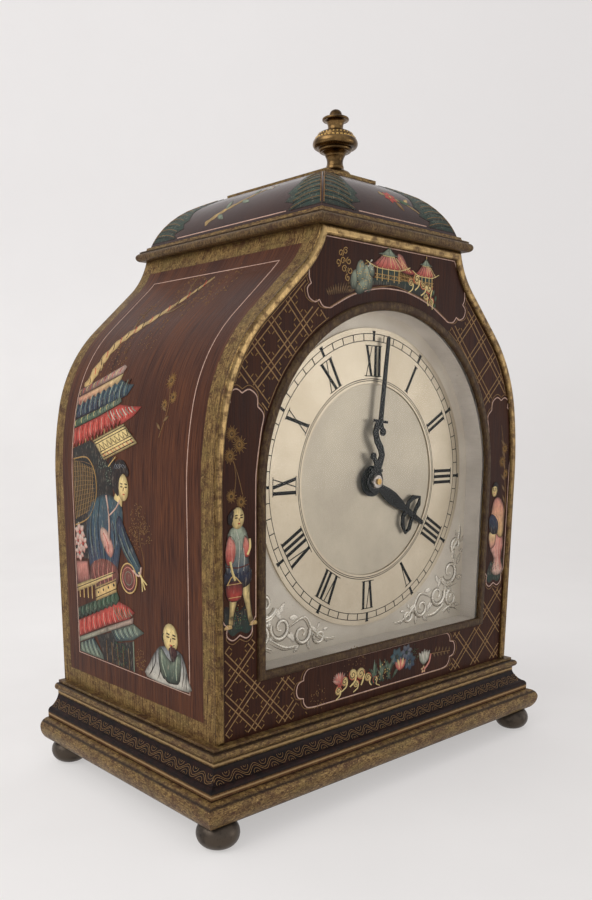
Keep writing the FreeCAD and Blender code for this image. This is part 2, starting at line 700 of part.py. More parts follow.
def between_arbor():
    """An arbor between the plates with a thinner pivot in each plate."""
    return rod_y(0.9, BETWEEN + 0.3, 25.4).fuse(rod_y(0.6, PLATE_Y + 0.3, 29.4))


def crown_wheel():
    """A disc whose teeth stand on its front face."""
    disc_y = CONTRATE_TIP + 1.6
    teeth = []
    for index in range(CONTRATE_TEETH):
        tooth = Part.makeBox(0.34, 1.8, 1.0, Vector(-0.17, CONTRATE_TIP, CONTRATE_RADIUS - 0.6))
        tooth.rotate(Vector(), Y, 360 * index / CONTRATE_TEETH)
        teeth.append(tooth)
    return rod_y(CONTRATE_RADIUS + 0.4, disc_y, 1.2).fuse(teeth)


def spiral(inner, outer, turns, thick, y, height):
    """A coiled ribbon made of half-round walls, each with its own centre."""
    step = (outer - inner) / (2 * turns)
    x, sign = inner, 1
    coil = []
    for index in range(2 * turns):
        radius = inner + step * (index + 0.5)
        centre = x - sign * radius
        ring = rod_y(radius + thick / 2, y, height, centre).cut(rod_y(radius - thick / 2, y, height, centre))
        half = Part.makeBox(4 * outer, height, 2 * outer, Vector(-2 * outer, y, 0 if sign > 0 else -2 * outer))
        coil.append(ring.common(half))
        x -= sign * 2 * radius
        sign = -sign
    return coil[0].fuse(coil[1:]).removeSplitter()


def winding():
    """Arbor, square, ratchet and click on the back plate."""
    x, z = BARREL
    shaft_end = PLATE_Y + 33.8
    node(fuse("winding_shaft", rod("winding_round", (x, PLATE_Y + 0.2, z), 2.5, 33.6),
              box("winding_square", (x - 1.5, shaft_end - 0.5, z - 1.5), (3, 9.5, 3))), "barrel_arbor")
    ratchet_y = MOVEMENT_BACK + 0.3
    saw = []
    for index in range(24):
        angle = 2 * math.pi * index / 24
        saw += [polar(8.0, angle), polar(6.7, angle + 0.02)]
    ratchet = slab_y(saw, 1.6).translated(Vector(0, ratchet_y, 0)).cut(rod_y(2.5, ratchet_y - 1, 5))
    node(made("ratchet", ratchet, at(BARREL)), "ratchet_wheel")
    px, pz = CLICK
    arm = outline((px - 1.6, pz + 1.3), (px - 4.9, pz - 1.7), (px - 4.4, pz - 2.6), (px - 0.4, pz - 2.0),
                  ((px + 2.2, pz - 0.6), (px + 0.9, pz + 2.0)))
    node(extrude("click_arm", "XZ", ratchet_y, 1.6, arm, circle(px, pz, 0.8 + GAP)), "click")
    leaf = outline((px - 9.5, pz + 6.6), (px + 3.6, pz + 6.6), (px + 3.6, pz + 3.0), (px + 4.2, pz + 3.0),
                   (px + 4.2, pz + 7.2), (px - 9.5, pz + 7.2))
    node(extrude("click_leaf", "XZ", MOVEMENT_BACK, 1.6, leaf), "click_spring")


def motion_work():
    """Cannon pinion, minute wheel and hour wheel between the dial and the front plate."""
    aim = math.radians(MINUTE_WHEEL_AIM)
    pipe_end = MINUTE_HAND_Y
    cannon = pinion(12, 0.5, aim + math.pi / 12, PLATE_Y - 2.0, 1.4)
    cannon = cannon.fuse(rod_y(CANNON_PIPE, pipe_end, PLATE_Y - 0.4 - pipe_end))
    cannon = cannon.cut(rod_y(ARBOR, pipe_end - 1, 20))
    node(made("cannon", cannon, at(CENTRE)), "cannon_pinion")
    minute = wheel(36, 0.5, aim + math.pi, 0.8, 0, PLATE_Y - 1.8)
    minute = minute.fuse(pinion(10, 0.48, aim + math.pi + math.pi / 10, PLATE_Y - 3.8, 2.0))
    minute = minute.cut(rod_y(0.8 + GAP, PLATE_Y - 6, 8))
    node(made("minute_body", minute, at(MINUTE_WHEEL)), "minute_wheel")
    hour_y = PLATE_Y - 3.6
    hour = wheel(40, 0.48, aim, 1.0, 0, hour_y, 0)
    hour = hour.fuse(rod_y(HOUR_PIPE, HOUR_HAND_Y, hour_y - HOUR_HAND_Y + 0.5))
    hour = hour.cut(rod_y(CANNON_PIPE + GAP, HOUR_HAND_Y - 1, 12))
    node(made("hour_body", hour, at(CENTRE)), "hour_wheel")


def ribbon(points, widths, thick):
    """A band of changing width along a run of points."""
    left, right = [], []
    for index, (x, z) in enumerate(points):
        before, after = points[max(index - 1, 0)], points[min(index + 1, len(points) - 1)]
        dx, dz = after[0] - before[0], after[1] - before[1]
        size = math.hypot(dx, dz)
        half = widths[index] / 2
        left.append((x - dz / size * half, z + dx / size * half))
        right.append((x + dz / size * half, z - dx / size * half))
    return slab_y(left + right[::-1], thick)


def hands():
    blade = slab_y([(-1.15, 22.0), (1.15, 22.0), (0.75, 54.6), (0, 55.2), (-0.75, 54.6)], HAND_THICK)
    bar = slab_y([(-4.0, 22.6), (4.0, 22.6), (4.0, 23.6), (-4.0, 23.6)], HAND_THICK)
    swan = ribbon([(0.2, 23.0), (-1.7, 21.2), (-2.3, 18.6), (-1.0, 15.6), (1.4, 13.0), (2.6, 10.4), (1.9, 7.6),
                   (0.3, 4.6)], [2.6, 2.9, 2.9, 2.9, 3.0, 2.9, 3.1, 4.2], HAND_THICK)
    lobes = [rod_y(1.5, 0, HAND_THICK, 1.9, 19.2), rod_y(1.4, 0, HAND_THICK, -2.2, 9.6)]
    stems = [ribbon([(0.2, 22.0), (1.9, 19.2)], [2.2, 1.6], HAND_THICK),
             ribbon([(0.2, 6.4), (-2.2, 9.6)], [2.2, 1.6], HAND_THICK)]
    foot = slab_y([(-3.4, 3.8), (3.6, 3.8), (3.6, 5.0), (-3.4, 5.0)], HAND_THICK)
    hub = rod_y(4.4, 0, HAND_THICK)
    minute = blade.fuse([bar, swan, foot, hub] + lobes + stems)
    minute = minute.cut(rod_y(CANNON_PIPE, -1, 3)).removeSplitter()
    node(made("minute_shape", minute, (0, MINUTE_HAND_Y, DIAL_Z), Rotation(Y, MINUTE_ANGLE)), "minute_hand")

    leaf = slab_y([(-1.5, 5.0), (-2.5, 11.0), (-2.7, 15.0), (-2.1, 20.0), (-1.0, 24.5), (1.0, 24.5), (2.1, 20.0),
                 (2.7, 15.0), (2.5, 11.0), (1.5, 5.0)], HAND_THICK)
    tip = slab_y([(-1.3, 24.0), (-0.9, 36.6), (0, 37.4), (0.9, 36.6), (1.3, 24.0)], HAND_THICK)
    scrolls = []
    for side in (-1, 1):
        run = [(0, 25.0), (side * 3.4, 24.4), (side * 6.3, 26.0), (side * 8.4, 29.6), (side * 5.6, 30.6),
               (side * 2.6, 30.0), (0, 30.4)]
        scrolls.append(ribbon(run, [2.4, 1.9, 2.0, 1.0, 2.0, 1.8, 2.2], HAND_THICK))
    hour = leaf.fuse([tip, rod_y(6.0, 0, HAND_THICK)] + scrolls)
    hour = hour.cut(rod_y(HOUR_PIPE, -1, 3)).removeSplitter()
    node(made("hour_shape", hour, (0, HOUR_HAND_Y, DIAL_Z), Rotation(Y, HOUR_ANGLE)), "hour_hand")
    flats = [polar(2.9, math.radians(a)) for a in range(0, 360, 60)]
    nut = slab_y(flats, 1.5).common(Part.makeCone(2.4, 3.1, 1.5, Vector(0, 0, 0), Y)).cut(rod_y(ARBOR, -1, 4))
    node(made("nut_body", nut, (0, MINUTE_HAND_Y - 1.5, DIAL_Z)), "hand_nut")


def escapement():
    """Lever platform standing across the tops of the movement plates."""
    x, y = ESCAPE
    low, top = dim("plate_high"), dim("plate_high") + 1.4
    bed = box("bed", (-10, PLATE_Y, low), (34, MOVEMENT_BACK - PLATE_Y, 1.4))
    bored = cut("bed_bored", bed, rod("bed_hole", (x, y, low - 1), 0.9, 4, Z))
    node(fuse("bed_and_potence", bored, box("potence_post", (-1.5, y - 4.2, low - 7), (3, 1.4, 7.5)),
              box("potence_foot", (-1.5, y - 4.2, low - 7), (3, 5.0, 0.9))), "platform_plate")
    points = []
    for index in range(ESCAPE_TEETH):
        angle = 2 * math.pi * index / ESCAPE_TEETH
        points += [polar(4.2, angle), polar(4.1, angle + 0.09), polar(3.0, angle + 0.12), polar(3.0, angle + 0.3)]
    ring = slab_z(points, 0.5).translated(Vector(0, 0, top + 0.9))
    leaves = slab_z(leaf_points(), 2.2).translated(Vector(0, 0, FOURTH[1] + CONTRATE_RADIUS - 1.0))
    staff = Part.makeCylinder(0.35, 10.6, Vector(0, 0, low - 5.95))
    node(made("escape_body", staff.fuse([ring, leaves]), (x, y, 0)), "escape_wheel")

    lever_z = top + 0.7
    px = x + 6.8
    bar = slab_z([(-1.2, -3.2), (-2.35, -3.0), (-2.1, -1.6), (-0.9, -0.5), (-0.9, 0.5), (-2.1, 1.6), (-2.35, 3.0),
                  (-1.2, 3.2), (0.4, 1.0), (4.6, 0.5), (5.0, 0.9), (5.4, 0.6), (4.9, 0.0), (5.4, -0.6),
                  (5.0, -0.9), (4.6, -0.5), (0.4, -1.0)], 0.6)
    lever = bar.translated(Vector(0, 0, lever_z)).fuse(Part.makeCylinder(0.35, 2.4, Vector(0, 0, top)))
    node(made("lever_body", lever, (px, y, 0)), "pallet_lever")

    bx = x + BALANCE_OFFSET
    balance_z = top + 2.6
    rim = Part.makeCylinder(6.6, 1.0, Vector(0, 0, balance_z)).cut(
        Part.makeCylinder(5.6, 1.0, Vector(0, 0, balance_z)))
    arm = Part.makeBox(11.6, 1.1, 0.7, Vector(-5.8, -0.55, balance_z))
    staff = Part.makeCylinder(0.45, 6.4, Vector(0, 0, top))
    node(made("balance_body", rim.fuse([arm, staff]), (bx, y, 0)), "balance_wheel")
    coil = spiral(1.0, 3.6, 4, 0.12, 0, 0.35)
    node(made("hairspring_body", coil, (bx, y, top + 4.9), Rotation(X, 90)), "balance_spring")
    cock_z = top + 5.9
    foot = Part.makeBox(2.4, 7.0, 7.4, Vector(bx + 7.4, y - 3.5, top))
    bridge = slab_z([(bx - 1.6, y - 1.6), (bx + 9.8, y - 3.5), (bx + 9.8, y + 3.5), (bx - 1.6, y + 1.6)], 1.2)
    cock = foot.fuse(bridge.translated(Vector(0, 0, cock_z + 0.3)))
    cock = cock.cut(Part.makeCylinder(0.45 + GAP, 10, Vector(bx, y, top)))
    node(made("cock_body", cock), "balance_cock")
    index_z = cock_z + 1.5
    index = slab_z([(-1.5, -1.5), (0.6, -1.9), (0.3, -7.6), (-0.3, -7.6), (-0.6, -1.9)], 0.5)
    index = index.fuse(Part.makeCylinder(2.0, 0.5)).cut(Part.makeCylinder(0.6, 2, Vector(0, 0, -1)))
    node(made("index_body", index, (bx, y, index_z)), "regulator_index")


def slab_z(corners, thick):
    """A polygon in X and Y given a thickness upwards."""
    loop = [Vector(x, y, 0) for x, y in corners]
    return Part.Face(Part.makePolygon(loop + loop[:1])).extrude(Vector(0, 0, thick))


def leaf_points():
    """Escape pinion: thin leaves, with a gap facing the contrate teeth at rest."""
    points = []
    for index in range(ESCAPE_LEAVES):
        angle = math.pi / 2 + (index + 0.5) * 2 * math.pi / ESCAPE_LEAVES
        points += [polar(0.6, angle - 0.26), polar(1.3, angle - 0.1), polar(1.3, angle + 0.1), polar(0.6, angle + 0.26)]
    return points


feet()
plinth()
side_panels()
front()
back()
cap()
finial()
dial()
movement_frame()
train()
winding()
motion_work()
hands()
escapement()


# ---------------------------------------------------------------- checks and files
doc.recompute()
for thing in doc.Objects:
    if "Invalid" in thing.State or "Error" in thing.State:
        raise RuntimeError("%s failed: %s" % (thing.Name, thing.State))
os.makedirs("parts", exist_ok=True)
for thing in parts:
    if thing.Shape.isNull() or not thing.Shape.isValid():
        raise RuntimeError("%s has a bad shape" % thing.Label)
    thing.Shape.exportStep("parts/%s.step" % thing.Label)
    print("%-22s %2d solids %10.1f mm3" % (thing.Label, len(thing.Shape.Solids), thing.Shape.Volume))
print(len(parts), "nodes")
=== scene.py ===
"""Chinoiserie bracket clock: finishes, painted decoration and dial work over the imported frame.

Everything is drawn in millimetres and made in metres. The front looks towards -Y and +Z is up.
"""

import math
import random

import bmesh
import bpy
import numpy as np
from mathutils import Matrix, Vector
from mathutils.geometry import delaunay_2d_cdt


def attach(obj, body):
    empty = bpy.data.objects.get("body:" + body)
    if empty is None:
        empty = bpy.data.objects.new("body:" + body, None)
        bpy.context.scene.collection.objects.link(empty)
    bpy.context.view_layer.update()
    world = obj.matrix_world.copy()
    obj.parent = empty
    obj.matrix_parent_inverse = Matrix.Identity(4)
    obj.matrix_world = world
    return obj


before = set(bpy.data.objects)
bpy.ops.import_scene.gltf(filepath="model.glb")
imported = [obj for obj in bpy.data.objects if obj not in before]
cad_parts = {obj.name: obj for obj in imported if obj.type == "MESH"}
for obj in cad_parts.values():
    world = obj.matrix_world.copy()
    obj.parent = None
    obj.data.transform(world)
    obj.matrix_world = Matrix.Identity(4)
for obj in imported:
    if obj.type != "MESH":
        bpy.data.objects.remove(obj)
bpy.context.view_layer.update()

MM = 0.001

# faces and levels of the case, mm
FRONT, BACK = -47.5, 56.9
SIDE_X = 85.0
CASE_LOW, CASE_TOP = 33.4, 206.8
DIAL_Z = 118.7
RING_Y, PLATE_Y = -38.3, -37.5
OPENING, SILL = 62.9, 55.8
BEAD = 3.4
DOME_FOOT = 212.2
DOME_MIDDLE, DOME_HALF_X, DOME_HALF_Y = 4.1, 38.1, 52.1
FINIAL_Y = -16.0
# the side line: where its bend starts, its two bends as radius and slope reached, the straight, the hollow
BEND_START = 117.5
SIDE_BENDS = ((137.0, 12.2), (58.0, 47.5))
SIDE_STRAIGHT, SIDE_HOLLOW = 24.0, 29.0
# the gilt border painted round each flank: its inner edges in Y and Z
BORDER_Y, BORDER_Z = (-41.3, 50.6), (39.6, 201.0)
# the plinth frieze: the dark hollow between its gilt neck and fillet
HOLLOW_LOW, HOLLOW_HIGH = 20.5, 27.0


# ---------------------------------------------------------------- colours
def tone(red, green, blue):
    """A paint colour, given as it looks on a chart, as the renderer counts light."""
    return tuple(((c / 255 + 0.055) / 1.055) ** 2.4 if c > 10 else c / 255 / 12.92
                 for c in (red, green, blue)) + (1.0,)


GOLD = tone(176, 140, 84)
OLD_GOLD = tone(142, 108, 58)
DULL_GOLD = tone(134, 102, 62)
LATTICE_GOLD = tone(158, 124, 80)
PALE_GOLD = tone(222, 186, 122)
ROSE = tone(214, 178, 160)
CORAL = tone(196, 74, 62)
PINK = tone(222, 146, 130)
TEAL = tone(58, 88, 96)
BLUE = tone(40, 56, 84)
GREEN = tone(60, 96, 68)
DEEP_GREEN = tone(34, 58, 50)
LEAF_GREEN = tone(42, 74, 58)
PALE_GREEN = tone(176, 186, 160)
SAGE = tone(128, 142, 122)
CREAM = tone(238, 214, 148)
WHITE = tone(212, 206, 190)
GREY = tone(112, 118, 124)
INK = tone(20, 17, 18)
NIGHT = tone(28, 34, 32)
FLESH = tone(230, 198, 132)
ROSEWOOD = tone(132, 76, 64)
MAROON = tone(86, 40, 38)
CHASED_LIGHT = tone(240, 232, 216)
CHASED_SHADE = tone(112, 101, 85)


# ---------------------------------------------------------------- finishes
class Flow:
    """A value in a finish or a tree that is reckoned with like a number."""

    def __init__(self, sheet, socket):
        self.sheet = sheet
        self.socket = socket

    def __add__(self, other):
        return self.sheet.maths("ADD", self, other)

    def __sub__(self, other):
        return self.sheet.maths("SUBTRACT", self, other)

    def __rsub__(self, other):
        return self.sheet.maths("SUBTRACT", other, self)

    def __mul__(self, other):
        return self.sheet.maths("MULTIPLY", self, other)

    def __truediv__(self, other):
        return self.sheet.maths("DIVIDE", self, other)

    def __lt__(self, other):
        return self.sheet.maths("LESS_THAN", self, other)

    __radd__, __rmul__ = __add__, __mul__


class Sheet:
    """A node tree that is filled in with one method."""

    def __init__(self, tree):
        self.tree = tree

    def node(self, kind, settings=None, sockets=None, out=0):
        """Adds a node: its settings first, then the values or links of its sockets."""
        made = self.tree.nodes.new(kind)
        for key, value in (settings or {}).items():
            setattr(made, key, value)
        for key, value in (sockets or {}).items():
            if isinstance(value, Flow):
                self.tree.links.new(value.socket, made.inputs[key])
            else:
                made.inputs[key].default_value = value
        return Flow(self, made.outputs[out])

    def maths(self, operation, *values):
        return self.node("ShaderNodeMath", {"operation": operation}, dict(enumerate(values)))

    def combine(self, **axes):
        """A vector from the axes that are given; the others are 0."""
        return self.node("ShaderNodeCombineXYZ", None, axes)


class Finish(Sheet):
    """A procedural finish on one shader, with the textures that paint and metal share."""

    def __init__(self, name):
        self.material = bpy.data.materials.new(name)
        self.material.use_nodes = True
        super().__init__(self.material.node_tree)
        self.shader = self.tree.nodes["Principled BSDF"]
        self.spot = self.node("ShaderNodeTexCoord", out="Object")

    def set(self, **values):
        """Fills the shader's sockets, each named with _ for its spaces."""
        for key, value in values.items():
            socket = self.shader.inputs[key.replace("_", " ")]
            if isinstance(value, Flow):
                self.tree.links.new(value.socket, socket)
            else:
                socket.default_value = value
        return self.material

    def axis(self, letter):
        return self.node("ShaderNodeSeparateXYZ", None, {0: self.spot}, out=letter)

    def stored(self, label, out="Fac"):
        """A value stored on the mesh."""
        return self.node("ShaderNodeAttribute", {"attribute_name": label}, out=out)

    def noise(self, cells, detail=3.0, rough=0.55, shift=0.0, spot=None):
        """Clouds whose cells are this many millimetres, or so many along each axis; 0 leaves one out."""
        if isinstance(cells, float):
            cells = (cells, cells, cells)
        scale = tuple(1 / (cell * MM) if cell else 0.0 for cell in cells)
        vector = self.node("ShaderNodeMapping", None, {"Vector": spot or self.spot, "Scale": scale})
        return self.node("ShaderNodeTexNoise", {"noise_dimensions": "4D"},
                         {"Vector": vector, "W": shift, "Scale": 1.0, "Detail": detail, "Roughness": rough})

    def ramp(self, value, low, high, start=0.0, end=1.0):
        """Carries a value from one range to another, held inside it."""
        return self.node("ShaderNodeMapRange", None,
                         {"Value": value, "From Min": low, "From Max": high, "To Min": start, "To Max": end})

    def past(self, value, edge, soft=0.3):
        """0 before an edge given in millimetres and 1 after it, with a soft step."""
        return self.ramp(value, edge * MM, (edge + soft) * MM)

    def mix(self, share, first, second):
        return self.node("ShaderNodeMix", {"data_type": "RGBA"}, {0: share, 6: first, 7: second}, out=2)

    def wash(self, colour, *coats):
        """Lays coats over a colour: each a pattern, its range, the shares there and a chart colour."""
        for value, low, high, start, end, paint in coats:
            colour = self.mix(self.ramp(value, low, high, start, end), colour, tone(*paint))
        return colour

    def bump(self, height, depth):
        """Relief of a depth in millimetres."""
        return self.node("ShaderNodeBump", None, {"Height": height, "Distance": depth * MM, "Strength": 1.0})

    def level_lines(self, heights, half_width):
        """A mask that is 1 along thin level lines at the given heights."""
        z = self.axis("Z")
        mask = 0.0
        for height in heights:
            away = self.maths("ABSOLUTE", z - height * MM)
            mask = mask + self.ramp(away, 0.25 * half_width * MM, half_width * MM, 1.0, 0.0)
        return mask


def lacquer(name, flank=0.0, cell=0.6):
    """Maroon japanning over mahogany with upright grain: across the front, or along a flank."""
    f = Finish(name)
    x, y, z = f.axis("X"), f.axis("Y"), f.axis("Z")
    if flank is None:
        flank = f.past(y, FRONT + 0.05, 0.25)
    board = f.combine(X=x * (1 - flank) + y * flank, Z=z)
    fine = f.noise((cell, 0, 13.0), 4.0, spot=board)
    broad = f.noise((cell * 6, 0, 55.0), 2.0, shift=3.0, spot=board)
    cloud = f.noise((24.0, 24.0, 34.0), 2.0, shift=7.0)
    streak = f.ramp(fine, 0.42, 0.64)
    ground = f.wash(tone(57, 29, 20), (broad, 0.38, 0.62, 0.0, 1.0, (77, 43, 28)))
    colour = f.mix(streak * f.ramp(cloud, 0.35, 0.7, 0.1, 0.6), ground, tone(118, 71, 43))
    colour = f.wash(colour, (fine, 0.28, 0.44, 0.85, 0.0, (34, 15, 11)))
    return f, colour, streak, cloud, flank


def sheen(f, streak, cloud):
    """The soft, grain-broken gloss that old japanning keeps."""
    return {"Roughness": f.ramp(cloud, 0.3, 0.7, 0.30, 0.42) + streak * 0.1, "Specular_IOR_Level": 0.1}


def board_finish(name):
    f, colour, streak, cloud, _ = lacquer(name)
    return f.set(Base_Color=colour, Normal=f.bump(streak, 0.03), **sheen(f, streak, cloud))


def gilt_colour(f, along, worn=0.5):
    """Old bronze-powder gilding: fine brush streaks, greenish clouds, brown worn patches, dark specks of
    dirt.
    """
    streak = f.noise(along, 5.0, 0.65)
    patch = f.noise((4.5, 4.5, 3.0), 4.0, 0.6, shift=2.0)
    cloud = f.noise((9.0, 9.0, 6.0), 2.0, shift=12.0)
    speck = f.noise(0.6, 3.0, shift=5.0)
    colour = f.wash(tone(78, 54, 33),
                    (streak, 0.40, 0.60, 0.0, 1.0, (154, 125, 76)),
                    (cloud, 0.45, 0.65, 0.0, 0.5, (108, 92, 54)),
                    (patch, 0.56 - 0.2 * worn, 0.66, 0.0, 0.8, (74, 46, 32)),
                    (speck, 0.55, 0.68, 0.0, 0.75, (44, 30, 21)),
                    (speck, 0.30, 0.42, 0.55, 0.0, (200, 166, 112)))
    return colour, streak, patch


def gilt_finish(name, along, worn=0.5, metal=0.35, lines=(), width=0.5, shade=1.0, polish=0.0, crest=0.0):
    """Gilding with painted shade and dirt in lines at some levels, a shade below 1 darker, and a painted
    highlight on the crest in front.
    """
    f = Finish(name)
    colour, streak, patch = gilt_colour(f, along, worn)
    if shade < 1:
        colour = f.mix(1 - shade, colour, tone(44, 28, 20))
    # painted shade and dirt: dark lines in the moulding's grooves at the given levels
    if lines:
        colour = f.mix(f.level_lines(lines, width) * 0.85, colour, tone(34, 22, 17))
    # painted highlight: lighter gold along the front crest, stronger towards the shoulder and broken by
    # patches
    if crest:
        crest_highlight = f.ramp(f.axis("Y"), (FRONT - 1.3) * MM, (FRONT - 0.9) * MM, crest, 0.0)
        crest_highlight = crest_highlight * f.ramp(f.axis("Z"), 100 * MM, 160 * MM, 0.15, 1.0)
        colour = f.mix(crest_highlight * f.ramp(patch, 0.45, 0.58, 1.0, 0.2), colour, tone(200, 168, 116))
    rough = f.ramp(streak, 0.3, 0.7, 0.52 - polish, 0.38 - polish) + f.ramp(patch, 0.5, 0.7, 0.0, 0.1)
    return f.set(Base_Color=colour, Metallic=f.ramp(patch, 0.45, 0.7, metal, metal * 0.5), Roughness=rough,
                 Normal=f.bump(streak, 0.04), Specular_IOR_Level=0.22)


def case_finish():
    """Front and side boards: grained lacquer, with a painted gilt border round each flank and painted shade
    darkening the front.
    """
    f, colour, streak, cloud, flank = lacquer("case_lacquer", None)
    ragged = (f.noise(3.0, 2.0, shift=9.0) - 0.5) * (0.6 * MM)
    border = 0.0
    for letter, (low, high) in (("Y", BORDER_Y), ("Z", BORDER_Z)):
        place = f.axis(letter) + ragged
        border = border + (1 - f.past(place, low)) + f.past(place, high)
    border = f.maths("MINIMUM", border, 1.0) * flank
    gilding, brushed, _ = gilt_colour(f, (0.8, 0.45, 9.0), 0.4)
    # painted shade: the front board darkened against the flanks
    colour = f.mix((1 - flank) * 0.6, colour, tone(33, 14, 9))
    gloss = sheen(f, streak, cloud)
    gloss["Roughness"] = gloss["Roughness"] + border * 0.1
    return f.set(Base_Color=f.mix(border, colour, gilding), Metallic=border * 0.3,
                 Normal=f.bump(streak * (1 - border) + brushed * border, 0.03), **gloss)


def frieze_finish():
    """Plinth frieze: gilt neck and fillet with a near-black hollow between them, painted shade and dirt in
    its grooves, painted highlights on two ridges.
    """
    f = Finish("frieze_paint")
    gilding, streak, _ = gilt_colour(f, (2.0, 2.0, 0.4), 0.8)
    z = f.axis("Z")
    plain = 1 - f.past(z, HOLLOW_LOW, 0.4) * (1 - f.past(z, HOLLOW_HIGH))
    cloud = f.noise((3.0, 3.0, 2.0), 3.0, shift=4.0)
    dark = f.wash(tone(16, 10, 10), (cloud, 0.35, 0.7, 0.0, 1.0, (42, 23, 19)))
    brown = f.wash(gilding, (z, 20.4 * MM, 20.6 * MM, 0.5, 0.0, (88, 52, 36)))
    # painted shade and dirt: dark lines in the grooves of the neck, fillet and hollow
    groove_shade_and_dirt = f.level_lines((18.3, 20.8, 27.1, 29.1), 0.55)
    colour = f.mix(groove_shade_and_dirt * 0.8, f.mix(plain, dark, brown), tone(24, 16, 13))
    # painted highlights: light gold lines along the ridges of the fillet and the ogee
    colour = f.mix(f.level_lines((19.7, 28.2), 0.5) * 0.65, colour, tone(188, 158, 114))
    return f.set(Base_Color=colour, Metallic=plain * 0.3, Roughness=0.42 + plain * 0.1,
                 Normal=f.bump(streak * plain, 0.04), Specular_IOR_Level=0.1)


def dome_finish():
    f, colour, streak, cloud, _ = lacquer("dome_lacquer", 0.5, 1.6)
    return f.set(Base_Color=f.mix(0.8, colour, tone(40, 16, 12)), Normal=f.bump(streak, 0.01),
                 Roughness=f.ramp(cloud, 0.3, 0.7, 0.16, 0.26), Specular_IOR_Level=0.3)


def metal_finish(name, bright, dull, rough, along=(0.4, 0.4, 4.0), tarnish=0.5, metal=1.0):
    """Worked metal with fine tool marks and patches of tarnish."""
    f = Finish(name)
    marks = f.noise(along, 3.0)
    patch = f.noise(4.0, 3.0, shift=6.0)
    speck = f.noise(0.6, 1.0, shift=8.0)
    colour = f.wash(tone(*bright), (patch, 0.64 - 0.25 * tarnish, 0.72, 0.0, 1.0, dull),
                    (speck, 0.62, 0.76, 0.0, 0.5 * tarnish, dull))
    rough = f.ramp(marks, 0.3, 0.7, rough * 0.8, rough * 1.2) + f.ramp(patch, 0.5, 0.8, 0.0, 0.15)
    return f.set(Base_Color=colour, Metallic=metal, Normal=f.bump(marks, 0.012), Roughness=rough)


def paint_finish():
    """Japan colours and gold on the raised drawing, read from the drawing's own pigments."""
    f = Finish("japan_colours")
    gilding = f.stored("gilding")
    cloud = f.noise(2.2, 3.0, shift=1.0)
    rub = f.noise(0.7, 3.0, shift=5.0)
    brush = f.noise((0.5, 0.5, 3.2), 3.0, 0.6, shift=9.0)
    colour = f.wash(f.stored("pigment", "Color"), (cloud, 0.35, 0.7, 0.0, 0.3, (84, 56, 42)))
    for low, high, start, end, paint in ((0.50, 0.68, 0.0, 0.42, (40, 30, 30)),
                                         (0.30, 0.42, 0.34, 0.0, (222, 206, 180))):
        colour = f.mix(f.ramp(brush, low, high, start, end) * (1 - gilding), colour, tone(*paint))
    colour = f.wash(colour, (rub, 0.60, 0.74, 0.0, 0.55, (62, 36, 29)))
    colour = f.mix(f.stored("rim"), colour, tone(30, 20, 18))
    return f.set(Base_Color=colour, Metallic=gilding * 0.35, Normal=f.bump(cloud, 0.05),
                 Roughness=0.46 + f.ramp(rub, 0.4, 0.7, -0.05, 0.1), Specular_IOR_Level=0.2)


def silver_finish(name, light, dark, rough, metal, cells, foot_shade=0.0, drawn=0.0):
    """Silvered brass, yellowed in clouds, with painted shade towards the dial's foot by foot_shade, its
    chasing drawn in with painted shade at the rims.
    """
    f = Finish(name)
    grain = f.noise(cells, 4.0)
    cloud = f.noise(17.0, 3.0, shift=3.0)
    spot = f.noise(0.9, 1.0, shift=4.0)
    colour = f.wash(tone(*light), (cloud, 0.35, 0.65, 0.0, 1.0, dark),
                    (grain, 0.3, 0.7, 0.0, 0.12, (96, 88, 76)),
                    (spot, 0.70, 0.78, 0.0, 0.35, (110, 98, 80)))
    # painted shade: darker towards the dial's foot
    if foot_shade:
        colour = f.wash(colour, (f.axis("Z"), 60 * MM, 150 * MM, foot_shade, 0.0, (140, 128, 108)))
    if drawn:
        colour = f.mix(drawn, colour, f.stored("pigment", "Color"))
        # painted shade round the rims of the chased relief
        colour = f.mix(f.stored("rim") * drawn, colour, tone(92, 82, 68))
    return f.set(Base_Color=colour, Metallic=metal, Normal=f.bump(grain, 0.01), Specular_IOR_Level=0.3,
                 Roughness=f.ramp(grain, 0.3, 0.7, rough - 0.04, rough + 0.06))


def plain_wood():
    f = Finish("bare_mahogany")
    grain = f.noise((0.7, 9.0, 0.7), 4.0)
    colour = f.wash(tone(92, 56, 38), (grain, 0.35, 0.65, 0.0, 1.0, (138, 92, 62)))
    return f.set(Base_Color=colour, Roughness=0.62, Normal=f.bump(grain, 0.05))


def glass_finish():
    f = Finish("clear_glass")
    smear = f.noise((30.0, 4.0, 22.0), 2.0)
    return f.set(Base_Color=tone(70, 80, 78), Roughness=f.ramp(smear, 0.3, 0.7, 0.02, 0.07), Alpha=0.05,
                 Specular_IOR_Level=0.6)


def black_finish():
    f = Finish("dial_black")
    worn = f.noise(0.6, 2.0)
    colour = f.wash(tone(18, 16, 15), (worn, 0.6, 0.8, 0.0, 0.5, (70, 62, 54)))
    return f.set(Base_Color=colour, Roughness=f.ramp(worn, 0.3, 0.7, 0.42, 0.55), Specular_IOR_Level=0.2)


BRASS = metal_finish("aged_brass", (190, 154, 92), (142, 108, 62), 0.3)
PAINT = paint_finish()
BLACK = black_finish()
CHASED = silver_finish("chased_silver", (244, 236, 222), (218, 208, 192), 0.26, 0.6, 0.6, drawn=0.8)

